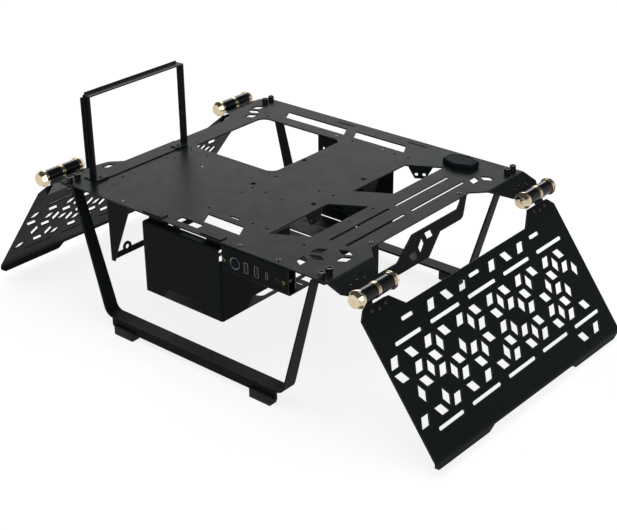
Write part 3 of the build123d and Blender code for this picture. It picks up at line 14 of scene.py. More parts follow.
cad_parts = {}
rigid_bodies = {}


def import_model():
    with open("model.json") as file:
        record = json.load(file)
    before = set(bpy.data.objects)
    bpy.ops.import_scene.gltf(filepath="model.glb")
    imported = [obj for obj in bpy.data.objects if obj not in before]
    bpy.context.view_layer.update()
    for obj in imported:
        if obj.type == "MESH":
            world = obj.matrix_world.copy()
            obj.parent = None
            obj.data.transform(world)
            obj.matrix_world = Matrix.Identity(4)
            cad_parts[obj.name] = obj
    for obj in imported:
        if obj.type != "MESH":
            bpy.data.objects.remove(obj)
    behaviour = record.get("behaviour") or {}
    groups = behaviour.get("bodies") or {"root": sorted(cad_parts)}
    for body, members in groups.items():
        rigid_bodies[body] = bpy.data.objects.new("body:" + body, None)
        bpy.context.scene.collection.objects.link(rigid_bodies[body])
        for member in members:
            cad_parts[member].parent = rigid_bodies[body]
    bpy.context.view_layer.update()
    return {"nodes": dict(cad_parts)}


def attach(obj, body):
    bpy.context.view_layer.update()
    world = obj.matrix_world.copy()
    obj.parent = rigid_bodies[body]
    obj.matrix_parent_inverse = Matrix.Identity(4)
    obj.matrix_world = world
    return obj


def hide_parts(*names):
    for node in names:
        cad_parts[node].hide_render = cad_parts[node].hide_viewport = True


for start_object in list(bpy.data.objects):
    bpy.data.objects.remove(start_object)
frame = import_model()

LOG = logging.getLogger("test_bench")
MM = 0.001

Colour = tuple[float, float, float]
Span = tuple[float, float]
Spots = tuple[tuple[float, float], ...]
Socket = bpy.types.NodeSocket

UP = (0, 0, 1)
DOWN = (0, 0, -1)
FRONT = (0, -1, 0)
BACK = (0, 1, 0)
SIDES = ((-1, "left"), (1, "right"))
ENDS = ((-1, "front"), (1, "rear"))

# Two directions with a product above this count as the same
SAME_WAY = 0.99
# Faces within this distance, in millimetres, count as lying in one plane
SAME_PLANE = 0.01
# Edges flatter than this, in degrees, are shaded smooth
SMOOTH_ANGLE = 35.0
# The values that noise mostly keeps between
NOISE_SPAN = (0.3, 0.7)
# Rays for each rounded edge normal
EDGE_SAMPLES = 4
# A Mix node's inputs for its share and two colours, and its output for a colour
MIX_INPUTS = (0, 6, 7)
MIX_OUTPUT = 2


class Body(Enum):
    """The bodies of the frame that a piece can ride on."""

    BENCH = "bench"
    LEFT_WING = "left_wing_body"
    RIGHT_WING = "right_wing_body"
    BUTTON = "button_body"


class Slot(Enum):
    """The record's material slots."""

    PAINT = "bench_paint"
    HINGE_BLACK = "hinge_black"
    GOLD = "hinge_gold"
    STEEL = "pin_steel"
    BRASS = "brass_screws"
    BLACK_SCREW = "black_screws"
    RUBBER = "foot_rubber"
    BOARD = "circuit_board"
    PORT = "port_metal"
    PLASTIC = "black_plastic"
    LIGHT = "button_light"


def opaque(colour: Colour) -> tuple[float, float, float, float]:
    """A colour with full alpha."""
    return (*colour, 1.0)


class MaterialTree:
    """The node tree of a new material, with only an output in it."""

    def __init__(self, name: str) -> None:
        """Start the material.

        Args:
            name: The material's name.
        """
        self.material = bpy.data.materials.new(name)
        self.material.use_nodes = True
        self.tree = self.material.node_tree
        self.tree.nodes.clear()
        self.surface = self.node("OutputMaterial").inputs["Surface"]

    def node(self, kind: str, **values: object) -> bpy.types.Node:
        """Add a node.

        Args:
            kind: Its kind, without the words that every kind starts with.
            values: Plain values for its sockets, spaces written as underscores.

        Returns:
            The node.
        """
        node = self.tree.nodes.new(f"ShaderNode{kind}")
        self.put(node, values)
        return node

    def put(self, node: bpy.types.Node, values: dict[str, object]) -> None:
        """Set plain values on a node's own sockets, spaces written as underscores."""
        for key, value in values.items():
            node.inputs[key.replace("_", " ")].default_value = value

    def join(self, source: Socket, target: Socket) -> None:
        """Lead an output into an input."""
        self.tree.links.new(source, target)


class ShaderWriter(MaterialTree):
    """Writes the nodes of one material around a Principled shader."""

    def __init__(self, name: str) -> None:
        """Start the material with its shader.

        Args:
            name: The material's name.
        """
        super().__init__(name)
        self.shader = self.node("BsdfPrincipled")
        self.join(self.shader.outputs["BSDF"], self.surface)
        self.place = self.node("TexCoord").outputs["Object"]

    def set(self, **values: object) -> None:
        """Set plain values on the shader's own sockets, spaces written as underscores."""
        self.put(self.shader, values)

    def link(self, source: Socket, socket: str) -> None:
        """Lead an output into one of the shader's sockets."""
        self.join(source, self.shader.inputs[socket])

    def stretched(self, scale: Sequence[float]) -> Socket:
        """Object coordinates scaled along X, Y and Z."""
        mapping = self.node("Mapping", Scale=scale)
        self.join(self.place, mapping.inputs["Vector"])
        return mapping.outputs["Vector"]

    def noise(self, scale: float, detail: float = 2.0, place: Socket | None = None) -> Socket:
        """A noise value.

        Args:
            scale: How many bumps there are to a metre, roughly.
            detail: How many finer layers are added.
            place: The coordinates, or the plain object ones.

        Returns:
            The noise value, around one half.
        """
        node = self.node("TexNoise", Scale=scale, Detail=detail)
        self.join(place or self.place, node.inputs["Vector"])
        return node.outputs["Fac"]

    def patches(self, scale: float, span: Span) -> Socket:
        """A value that wanders over a span.

        Args:
            scale: How many patches there are to a metre, roughly.
            span: The lowest and the highest value.

        Returns:
            The value.
        """
        low, high = NOISE_SPAN
        node = self.node("MapRange", From_Min=low, From_Max=high, To_Min=span[0], To_Max=span[1])
        self.join(self.noise(scale), node.inputs["Value"])
        return node.outputs["Result"]

    def ramp(self, value: Socket, low: Colour, high: Colour) -> Socket:
        """Colour a noise value.

        Args:
            value: The noise value.
            low: The colour at the low end of its usual span.
            high: The colour at the high end.

        Returns:
            The colour.
        """
        node = self.node("ValToRGB")
        for element, position, colour in zip(node.color_ramp.elements, NOISE_SPAN, (low, high)):
            element.position = position
            element.color = opaque(colour)
        self.join(value, node.inputs["Fac"])
        return node.outputs["Color"]

    def soft_edge(self, radius: float) -> Socket:
        """The normal with every edge rounded off by a small radius, in metres."""
        node = self.node("Bevel", Radius=radius)
        node.samples = EDGE_SAMPLES
        return node.outputs["Normal"]

    def edge_share(self, soft_normal: Socket, full_at: float) -> Socket:
        """How near a point is to an edge.

        Args:
            soft_normal: The rounded normal.
            full_at: The product of the two normals at which the share is one.

        Returns:
            A value from 0 on flat faces to 1 on edges.
        """
        product = self.node("VectorMath")
        product.operation = "DOT_PRODUCT"
        self.join(soft_normal, product.inputs[0])
        self.join(self.node("NewGeometry").outputs["Normal"], product.inputs[1])
        node = self.node("MapRange", From_Min=full_at, From_Max=SAME_WAY, To_Min=1.0, To_Max=0.0)
        self.join(product.outputs["Value"], node.inputs["Value"])
        return node.outputs["Result"]

    def mix(self, share: Socket, first: Socket, second: Colour) -> Socket:
        """Mix a colour into another by a share.

        Args:
            share: The share of the second colour.
            first: The colour at share 0.
            second: The colour at share 1.

        Returns:
            The mixed colour.
        """
        node = self.node("Mix")
        node.data_type = "RGBA"
        share_input, first_input, second_input = (node.inputs[k] for k in MIX_INPUTS)
        second_input.default_value = opaque(second)
        self.join(share, share_input)
        self.join(first, first_input)
        return node.outputs[MIX_OUTPUT]

    def bump(self, height: Socket, distance: float, strength: float, normal: Socket | None = None) -> Socket:
        """Turn a height into a normal.

        Args:
            height: The height value.
            distance: The height of a full step, in metres.
            strength: How much of it shows.
            normal: The normal that it is laid on.

        Returns:
            The new normal.
        """
        node = self.node("Bump", Distance=distance, Strength=strength)
        self.join(height, node.inputs["Height"])
        if normal is not None:
            self.join(normal, node.inputs["Normal"])
        return node.outputs["Normal"]


@dataclass(frozen=True)
class Finish:
    """A finish that is written once as a material and then shared."""

    name: str
    slot: Slot
    dark: Colour
    pale: Colour

    def write(self, writer: ShaderWriter) -> None:
        """Write the nodes of the finish."""
        raise NotImplementedError

    def material(self) -> bpy.types.Material:
        """The finish's material, made at its first use."""
        found = bpy.data.materials.get(self.name)
        if found is None:
            writer = ShaderWriter(self.name)
            self.write(writer)
            found = writer.material
        return found


@dataclass(frozen=True)
class DarkCoat(Finish):
    """A dark finish with its own grain: black oxide, enamel, moulded plastic or rubber."""

    name: str = "black_oxide"
    slot: Slot = Slot.BLACK_SCREW
    dark: Colour = (0.0050, 0.0052, 0.0056)
    pale: Colour = (0.0080, 0.0082, 0.0088)
    roughness: Span = (0.22, 0.30)
    specular: float = 0.34
    clouds_per_metre: float = 120.0
    patches_per_metre: float = 260.0
    grain_per_metre: float = 1200.0
    grain_detail: float = 2.0
    grain_depth: float = 0.02 * MM
    grain_strength: float = 0.3
    edge_radius: float = 0.3 * MM

    def colour(self, writer: ShaderWriter, soft_normal: Socket) -> Socket:
        """The coat's colour, slightly clouded.

        Args:
            writer: The writer of the material.
            soft_normal: The normal with rounded edges, for a coat with a painted highlight there.

        Returns:
            The colour.
        """
        return writer.ramp(writer.noise(self.clouds_per_metre), self.dark, self.pale)

    def write(self, writer: ShaderWriter) -> None:
        """Write the nodes of the finish."""
        soft = writer.soft_edge(self.edge_radius)
        writer.link(self.colour(writer, soft), "Base Color")
        writer.link(writer.patches(self.patches_per_metre, self.roughness), "Roughness")
        grain = writer.noise(self.grain_per_metre, self.grain_detail)
        writer.link(writer.bump(grain, self.grain_depth, self.grain_strength, soft), "Normal")
        writer.set(Specular_IOR_Level=self.specular)


@dataclass(frozen=True)
class PowderCoat(DarkCoat):
    """Black powder coat: smooth and satin, with slight clouding and a painted highlight along the edges."""

    name: str = "powder_coat"
    slot: Slot = Slot.PAINT
    dark: Colour = (0.0064, 0.0084, 0.0089)
    pale: Colour = (0.0078, 0.0101, 0.0106)
    roughness: Span = (0.37, 0.42)
    specular: float = 0.030
    clouds_per_metre: float = 9.0
    patches_per_metre: float = 60.0
    grain_per_metre: float = 1400.0
    grain_detail: float = 1.0
    grain_strength: float = 0.15
    edge_radius: float = 0.7 * MM
    # The painted highlight along every edge, in place of the light that the rounded edges catch: its colour,
    # and the product of the two normals at which it is full.
    edge: Colour = (0.160, 0.166, 0.170)
    painted_highlight_at: float = 0.80

    def colour(self, writer: ShaderWriter, soft_normal: Socket) -> Socket:
        """The paint's colour, with a painted highlight along the edges.

        Args:
            writer: The writer of the material.
            soft_normal: The normal with rounded edges.

        Returns:
            The colour.
        """
        clouds = super().colour(writer, soft_normal)
        # Mix the painted edge highlight into the clouded paint.
        return writer.mix(writer.edge_share(soft_normal, self.painted_highlight_at), clouds, self.edge)


@dataclass(frozen=True)
class TurnedMetal(Finish):
    """Bright turned metal with faint tool lines round one axis."""

    name: str = "pale_gold"
    slot: Slot = Slot.GOLD
    dark: Colour = (0.60, 0.50, 0.33)
    pale: Colour = (0.70, 0.60, 0.43)
    roughness: Span = (0.06, 0.12)
    smears_per_metre: float = 160.0
    patches_per_metre: float = 500.0
    line_axis: tuple[float, float, float] = (0.0, 1.0, 0.0)
    lines_per_metre: float = 2600.0
    line_depth: float = 0.004 * MM
    line_strength: float = 0.3

    def write(self, writer: ShaderWriter) -> None:
        """Write the nodes of the finish."""
        lines = writer.noise(self.lines_per_metre, 1.0, writer.stretched(self.line_axis))
        writer.link(writer.ramp(writer.noise(self.smears_per_metre), self.dark, self.pale), "Base Color")
        writer.link(writer.patches(self.patches_per_metre, self.roughness), "Roughness")
        writer.link(writer.bump(lines, self.line_depth, self.line_strength), "Normal")
        writer.set(Metallic=1.0)


@dataclass(frozen=True)
class SolderMask(Finish):
    """Black solder mask with fine copper tracks showing through."""

    name: str = "solder_mask"
    slot: Slot = Slot.BOARD
    dark: Colour = (0.006, 0.007, 0.007)
    pale: Colour = (0.016, 0.018, 0.017)
    roughness: Span = (0.25, 0.35)
    patches_per_metre: float = 300.0
    tracks_per_metre: float = 190.0
    track_bends: float = 5.0
    bend_scale: float = 0.4
    track_depth: float = 0.04 * MM
    track_strength: float = 0.4

    def write(self, writer: ShaderWriter) -> None:
        """Write the nodes of the finish."""
        wave = writer.node(
            "TexWave", Scale=self.tracks_per_metre, Distortion=self.track_bends, Detail=0.0,
            Detail_Scale=self.bend_scale,
        )
        wave.bands_direction = "X"
        writer.join(writer.place, wave.inputs["Vector"])
        tracks = wave.outputs["Fac"]
        writer.link(writer.ramp(tracks, self.dark, self.pale), "Base Color")
        writer.link(writer.bump(tracks, self.track_depth, self.track_strength), "Normal")
        writer.link(writer.patches(self.patches_per_metre, self.roughness), "Roughness")
        writer.set(Coat_Weight=0.3, Coat_Roughness=0.1)


@dataclass(frozen=True)
class LitPlastic(Finish):
    """Milky plastic with a pale blue lamp behind it."""

    name: str = "lit_blue"
    slot: Slot = Slot.LIGHT
    dark: Colour = (0.19, 0.28, 0.36)
    pale: Colour = (0.27, 0.38, 0.47)
    clouds_per_metre: float = 300.0
    glow: float = 0.26

    def write(self, writer: ShaderWriter) -> None:
        """Write the nodes of the finish."""
        tint = writer.ramp(writer.noise(self.clouds_per_metre), self.dark, self.pale)
        writer.link(tint, "Base Color")
        writer.link(tint, "Emission Color")
        writer.set(Emission_Strength=self.glow, Roughness=0.30)


POWDER_COAT = PowderCoat()
GLOSS_BLACK = DarkCoat(
    name="gloss_black", slot=Slot.HINGE_BLACK, dark=(0.0040, 0.0042, 0.0046), pale=(0.0056, 0.0058, 0.0062),
    roughness=(0.10, 0.15), specular=0.18, clouds_per_metre=90.0, patches_per_metre=300.0,
    grain_per_metre=700.0, grain_detail=1.0, grain_depth=0.01 * MM, grain_strength=0.10, edge_radius=0.4 * MM,
)
PALE_GOLD = TurnedMetal()
GROUND_STEEL = TurnedMetal(
    name="ground_steel", slot=Slot.STEEL, dark=(0.42, 0.42, 0.43), pale=(0.55, 0.55, 0.56),
    roughness=(0.25, 0.38),
)
BRASS = TurnedMetal(
    name="satin_brass", slot=Slot.BRASS, dark=(0.17, 0.124, 0.057), pale=(0.23, 0.172, 0.083),
    roughness=(0.16, 0.24), line_axis=(1.0, 1.0, 1.0), lines_per_metre=1800.0,
)
# Brass darkened far below its own colour: painted shade for the dark surroundings that the small screw heads
# mirror. The leaf screws and the board spacers use it.
SHADED_BRASS = TurnedMetal(
    name="shaded_brass", slot=Slot.BRASS, dark=(0.075, 0.056, 0.028), pale=(0.110, 0.084, 0.044),
    roughness=(0.08, 0.13), line_axis=(1.0, 1.0, 1.0), lines_per_metre=1800.0,
)
WARM_NICKEL = TurnedMetal(
    name="warm_nickel", slot=Slot.PORT, dark=(0.27, 0.245, 0.20), pale=(0.35, 0.32, 0.265),
    roughness=(0.22, 0.32), line_axis=(0.2, 1.0, 0.2), lines_per_metre=2000.0,
)
BLACK_OXIDE = DarkCoat()
# Near-black with almost no gloss, far darker than the other blacks, so that the press nuts read as dark discs
# in their holes: partly their own black, partly painted shade.
DULL_BLACK = DarkCoat(
    name="dull_black", dark=(0.0014, 0.0016, 0.0018), pale=(0.0024, 0.0027, 0.0030),
    roughness=(0.50, 0.60), specular=0.03,
)
RUBBER = DarkCoat(
    name="black_rubber", slot=Slot.RUBBER, dark=(0.0060, 0.0066, 0.0070), pale=(0.0085, 0.0092, 0.0096),
    roughness=(0.58, 0.70), specular=0.20, grain_per_metre=900.0, grain_depth=0.03 * MM,
)
MOULDED = DarkCoat(
    name="moulded_plastic", slot=Slot.PLASTIC, dark=(0.0045, 0.0050, 0.0055), pale=(0.0065, 0.0070, 0.0076),
    roughness=(0.32, 0.42), specular=0.25, grain_per_metre=1600.0,
)
PUCK_PLASTIC = DarkCoat(
    name="puck_plastic", slot=Slot.PLASTIC, dark=(0.0050, 0.0090, 0.0100), pale=(0.0068, 0.0115, 0.0130),
    roughness=(0.50, 0.58), specular=0.022, grain_per_metre=1600.0, edge_radius=0.6 * MM,
)
BUTTON_PLASTIC = DarkCoat(
    name="button_plastic", slot=Slot.PLASTIC, dark=(0.0040, 0.0055, 0.0066), pale=(0.0055, 0.0074, 0.0088),
    roughness=(0.34, 0.42), specular=0.04, grain_per_metre=1600.0,
)
SOLDER_MASK = SolderMask()
LIT_BLUE = LitPlastic()


def dress_node(node: str, finish: Finish) -> None:
    """Give a shown CAD node a finish.

    Args:
        node: The node's name.
        finish: The finish.
    """
    for slot in frame["nodes"][node].material_slots:
        slot.material = finish.material()
    LOG.info("%s: %s", node, finish.name)


def stood(place: Sequence[float], axis: Sequence[float]) -> Matrix:
    """Where a piece goes that was modelled on the Z axis.

    Args:
        place: The place of the piece's origin, in millimetres.
        axis: The direction that its Z axis is turned to.

    Returns:
        The matrix for its mesh.
    """
    turn = Vector(axis).to_track_quat("Z", "Y").to_matrix().to_4x4()
    return Matrix.Translation(Vector(place) * MM) @ turn


class Workpiece:
    """A mesh that is shaped with edit-mode tools and modifiers. All its sizes are given in millimetres."""

    def __init__(self, name: str) -> None:
        """Take over the primitive that was added last.

        Args:
            name: The piece's name.
        """
        self.piece = bpy.context.object
        self.piece.name = name
        bpy.ops.object.transform_apply(location=True, rotation=True, scale=True)

    @classmethod
    def cylinder(cls, name: str, radius: float, low: float, high: float, sides: int = 32) -> "Workpiece":
        """Start from a cylinder on the Z axis.

        Args:
            name: The piece's name.
            radius: Its radius to the corners.
            low: Its lower end.
            high: Its upper end.
            sides: How many sides it has.

        Returns:
            The new workpiece.
        """
        bpy.ops.object.select_all(action="DESELECT")
        middle = (0.0, 0.0, (low + high) / 2 * MM)
        bpy.ops.mesh.primitive_cylinder_add(
            vertices=sides, radius=radius * MM, depth=(high - low) * MM, location=middle
        )
        return cls(name)

    @classmethod
    def taper(cls, name: str, radii: Span, low: float, high: float, sides: int) -> "Workpiece":
        """Start from a cut cone on the Z axis.

        Args:
            name: The piece's name.
            radii: Its lower and upper radius to the corners.
            low: Its lower end.
            high: Its upper end.
            sides: How many sides it has.

        Returns:
            The new workpiece.
        """
        bpy.ops.object.select_all(action="DESELECT")
        middle = (0.0, 0.0, (low + high) / 2 * MM)
        bpy.ops.mesh.primitive_cone_add(
            vertices=sides, radius1=radii[0] * MM, radius2=radii[1] * MM, depth=(high - low) * MM,
            location=middle,
        )
        return cls(name)

    @classmethod
    def block(cls, name: str, low: Sequence[float], high: Sequence[float]) -> "Workpiece":
        """Start from a block between two corners.

        Args:
            name: The piece's name.
            low: The lower corner.
            high: The upper corner.

        Returns:
            The new workpiece.
        """
        bpy.ops.object.select_all(action="DESELECT")
        first, second = Vector(low) * MM, Vector(high) * MM
        bpy.ops.mesh.primitive_cube_add(size=1.0, location=(first + second) / 2, scale=second - first)
        return cls(name)

    def pick(self, test: Callable[[bmesh.types.BMFace], bool]) -> None:
        """Go into edit mode with only the faces selected that pass a test.

        Args:
            test: The test of a face.
        """
        bpy.context.view_layer.objects.active = self.piece
        bpy.ops.object.mode_set(mode="EDIT")
        bpy.ops.mesh.select_mode(type="FACE")
        bpy.ops.mesh.select_all(action="DESELECT")
        shape = bmesh.from_edit_mesh(self.piece.data)
        for face in shape.faces:
            face.select_set(test(face))
        bmesh.update_edit_mesh(self.piece.data)

    def pick_side(self, normal: Sequence[float]) -> None:
        """Go into edit mode with the outermost faces on one side selected.

        Args:
            normal: The side's direction.
        """
        way = Vector(normal).normalized()
        reach = max(corner.co.dot(way) for corner in self.piece.data.vertices)
        near = reach - SAME_PLANE * MM
        self.pick(lambda face: face.normal.dot(way) > SAME_WAY and face.calc_center_median().dot(way) > near)

    def leave(self) -> None:
        """Go back to object mode."""
        bpy.ops.object.mode_set(mode="OBJECT")

    def turn(self, radius: float, height: float, steps: Spots) -> None:
        """Carry the top of a round piece on through more radii and heights, as on a lathe.

        Args:
            radius: The radius of the top.
            height: Its height.
            steps: The radius and height at each further step.
        """
        self.pick_side(UP)
        for next_radius, next_height in steps:
            rise = (0.0, 0.0, (next_height - height) * MM)
            bpy.ops.mesh.extrude_region_move(TRANSFORM_OT_translate={"value": rise})
            share = next_radius / radius
            bpy.ops.transform.resize(value=(share, share, 1.0), center_override=(0.0, 0.0, next_height * MM))
            radius, height = next_radius, next_height
        self.leave()

    def sink(self, normal: Sequence[float], rim: float, depth: float) -> None:
        """Sink a pocket into one side, with a rim left round it.

        Args:
            normal: The side's direction.
            rim: The rim's width.
            depth: The pocket's depth.
        """
        self.pick_side(normal)
        bpy.ops.mesh.inset(thickness=rim * MM)
        inward = Vector(normal).normalized() * -depth * MM
        bpy.ops.mesh.extrude_region_move(TRANSFORM_OT_translate={"value": inward})
        self.leave()

    def apply(self, modifier: bpy.types.Modifier) -> None:
        """Apply one of the piece's modifiers."""
        bpy.context.view_layer.objects.active = self.piece
        bpy.ops.object.modifier_apply(modifier=modifier.name)

    def combine(self, other: "Workpiece", way: str) -> None:
        """Cut another workpiece out of this one, or add it, and use it up.

        Args:
            other: The other workpiece.
            way: DIFFERENCE to cut it out, or UNION to add it.
        """
        modifier = self.piece.modifiers.new("combine", "BOOLEAN")
        modifier.operation = way
        modifier.solver = "EXACT"
        modifier.object = other.piece
        self.apply(modifier)
        other.use_up()

    def cut(self, other: "Workpiece") -> None:
        """Cut another workpiece out of this one."""
        self.combine(other, "DIFFERENCE")

    def add(self, other: "Workpiece") -> None:
        """Add another workpiece to this one."""
        self.combine(other, "UNION")

    def repeat(self, count: int, step: Sequence[float]) -> None:
        """Repeat the piece along a line.

        Args:
            count: How many there are in all.
            step: The step from one to the next.
        """
        modifier = self.piece.modifiers.new("repeat", "ARRAY")
        modifier.count = count
        modifier.use_relative_offset = False
        modifier.use_constant_offset = True
        modifier.constant_offset_displace = Vector(step) * MM
        self.apply(modifier)

    def round_edges(self, width: float, segments: int = 2, angle: float = 30.0) -> None:
        """Round the edges and smooth the faces between them.

        Args:
            width: The rounding's width.
            segments: How many faces it has.
            angle: The least angle, in degrees, at which an edge is rounded.
        """
        modifier = self.piece.modifiers.new("round", "BEVEL")
        modifier.width = width * MM
        modifier.segments = segments
        modifier.limit_method = "ANGLE"
        modifier.angle_limit = math.radians(angle)
        self.apply(modifier)
        bpy.ops.object.select_all(action="DESELECT")
        self.piece.select_set(True)
        bpy.ops.object.shade_smooth_by_angle(angle=math.radians(SMOOTH_ANGLE))

    def round_corners(self, axis: Sequence[float], width: float, segments: int = 4) -> None:
        """Round the edges that run along an axis.

        Args:
            axis: The axis.
            width: The rounding's width.
            segments: How many faces it has.
        """
        way = Vector(axis).normalized()
        bpy.context.view_layer.objects.active = self.piece
        bpy.ops.object.mode_set(mode="EDIT")
        bpy.ops.mesh.select_mode(type="EDGE")
        bpy.ops.mesh.select_all(action="DESELECT")
        shape = bmesh.from_edit_mesh(self.piece.data)
        for edge in shape.edges:
            line = edge.verts[1].co - edge.verts[0].co
            edge.select_set(abs(line.normalized().dot(way)) > SAME_WAY)
        bmesh.update_edit_mesh(self.piece.data)
        bpy.ops.mesh.bevel(offset=width * MM, segments=segments, affect="EDGES")
        self.leave()

    def move(self, place: Matrix) -> None:
        """Move the mesh to its place."""
        self.piece.data.transform(place)

    def hand_over(self, body: Body, finish: Finish, *nodes: str) -> None:
        """Dress the finished piece and set it on its body.

        Args:
            body: The body that it rides on.
            finish: Its finish.
            nodes: The CAD nodes that it stands for.
        """
        hand_over(self.piece, body, finish, *nodes)

    def hand_over_at(self, name: str, place: Matrix, body: Body, finish: Finish, *nodes: str) -> None:
        """Set a copy of the piece in place, with a mesh of its own.

        Args:
            name: The copy's name.
            place: Where it goes.
            body: The body that it rides on.
            finish: Its finish.
            nodes: The CAD nodes that it stands for.
        """
        data = self.piece.data.copy()
        data.transform(place)
        copy = bpy.data.objects.new(name, data)
        bpy.context.scene.collection.objects.link(copy)
        hand_over(copy, body, finish, *nodes)

    def use_up(self) -> None:
        """Remove a cutter, or a pattern piece once its copies are made."""
        bpy.data.objects.remove(self.piece)


def hand_over(piece: bpy.types.Object, body: Body, finish: Finish, *nodes: str) -> None:
    """Dress a finished piece and set it on its body.

    Args:
        piece: The piece.
        body: The body that it rides on.
        finish: Its finish.
        nodes: The CAD nodes that it stands for.
    """
    piece.data.materials.clear()
    piece.data.materials.append(finish.material())
    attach(piece, body.value)
    if nodes:
        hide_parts(*nodes)
    LOG.info("%s: %s on %s", piece.name, finish.name, body.value)


@dataclass
class Sheetwork:
    """The folded sheet parts, which keep their CAD shapes."""

    painted: tuple[str, ...] = (
        "main_plate", "left_wing", "right_wing", "front_leg", "rear_leg", "card_frame", "card_frame_base",
        "psu_cradle", "io_bracket", "side_bracket", "tie_bracket",
    )

    def build(self) -> None:
        """Dress every sheet part."""
        for node in self.painted:
            dress_node(node, POWDER_COAT)


@dataclass
class Hinges:
    """The four friction hinges: faceted caps and grooved rings round black sleeves."""

    axis_x: float = 262.008
    axis_z: float = 184.975
    middle_y: float = 167.0
    cap_from: float = 26.0
    cap_radius: float = 10.5
    cap_lip: float = 1.5
    cap_steps: Spots = ((9.8, 1.5), (9.8, 2.3), (11.3, 2.3), (11.3, 4.0))
    taper_radii: Span = (11.3, 8.5)
    taper_span: Span = (3.9, 10.0)
    taper_sides: int = 8
    ring_half: float = 2.5
    ring_radius: float = 9.75
    ring_groove: float = 8.7
    groove_half: float = 0.8
    bore: float = 4.02
    cap_bore: Span = (-1.0, 5.0)
    ring_bore: Span = (-4.0, 4.0)
    sides: int = 48
    bore_sides: int = 24
    rounding: float = 0.16

    def cap(self) -> Workpiece:
        """One end cap: a ring, a groove, a collar and an eight-sided taper.

        Returns:
            The cap, on the Z axis with its inner end at 0.
        """
        cap = Workpiece.cylinder("cap_pattern", self.cap_radius, 0.0, self.cap_lip, self.sides)
        cap.turn(self.cap_radius, self.cap_lip, self.cap_steps)
        cap.add(Workpiece.taper("cap_taper", self.taper_radii, *self.taper_span, self.taper_sides))
        cap.cut(Workpiece.cylinder("cap_bore", self.bore, *self.cap_bore, self.bore_sides))
        cap.round_edges(self.rounding, angle=20.0)
        return cap

    def ring(self) -> Workpiece:
        """The ring between the sleeves, with a groove round its middle.

        Returns:
            The ring, on the Z axis about 0.
        """
        half = self.groove_half
        ring = Workpiece.cylinder("ring_pattern", self.ring_radius, -self.ring_half, -half, self.sides)
        ring.turn(self.ring_radius, -half, (
            (self.ring_groove, -half), (self.ring_groove, half), (self.ring_radius, half),
            (self.ring_radius, self.ring_half),
        ))
        ring.cut(Workpiece.cylinder("ring_bore", self.bore, *self.ring_bore, self.bore_sides))
        ring.round_edges(self.rounding)
        return ring

    def build(self) -> None:
        """Make the caps and rings and dress the leaves and pins."""
        cap = self.cap()
        ring = self.ring()
        for side, side_name in SIDES:
            for end, end_name in ENDS:
                hinge = f"{side_name}_{end_name}_hinge"
                x, y = side * self.axis_x, end * self.middle_y
                for way, way_name in ((-1, "a"), (1, "b")):
                    place = stood((x, y + way * self.cap_from, self.axis_z), (0, way, 0))
                    cap.hand_over_at(f"{hinge}_cap_{way_name}", place, Body.BENCH, PALE_GOLD, f"{hinge}_caps")
                place = stood((x, y, self.axis_z), BACK)
                ring.hand_over_at(f"{hinge}_grooved_ring", place, Body.BENCH, PALE_GOLD, f"{hinge}_ring")
                dress_node(f"{hinge}_plate_leaf", GLOSS_BLACK)
                dress_node(f"{hinge}_wing_leaf", GLOSS_BLACK)
                dress_node(f"{hinge}_pin", GROUND_STEEL)
        cap.use_up()
        ring.use_up()


@dataclass(frozen=True)
class DomedScrew:
    """A small domed screw with a six-sided socket."""

    radius: float
    height: float
    socket: float
    shank: float
    length: float
    shoulder_share: float = 0.45
    dome_shares: Spots = ((0.90, 0.86), (0.74, 1.0))
    socket_floor_share: float = 0.30
    pit_share: float = 0.55
    pit_floor: float = -0.8
    sides: int = 24
    pit_sides: int = 16
    rounding: float = 0.05

    def pattern(self) -> Workpiece:
        """Make the screw.

        Returns:
            The screw, standing on 0.
        """
        screw = Workpiece.cylinder("screw_pattern", self.shank, -self.length, 0.0, self.sides)
        dome = tuple((self.radius * across, self.height * up) for across, up in self.dome_shares)
        shoulder = self.height * self.shoulder_share
        screw.turn(self.shank, 0.0, ((self.radius, 0.0), (self.radius, shoulder), *dome))
        socket_floor = self.height * self.socket_floor_share
        screw.cut(Workpiece.cylinder("screw_socket", self.socket, socket_floor, self.height + 1.0, 6))
        pit = self.socket * self.pit_share
        screw.cut(Workpiece.cylinder("screw_pit", pit, self.pit_floor, self.height, self.pit_sides))
        screw.round_edges(self.rounding, 1, 40.0)
        return screw


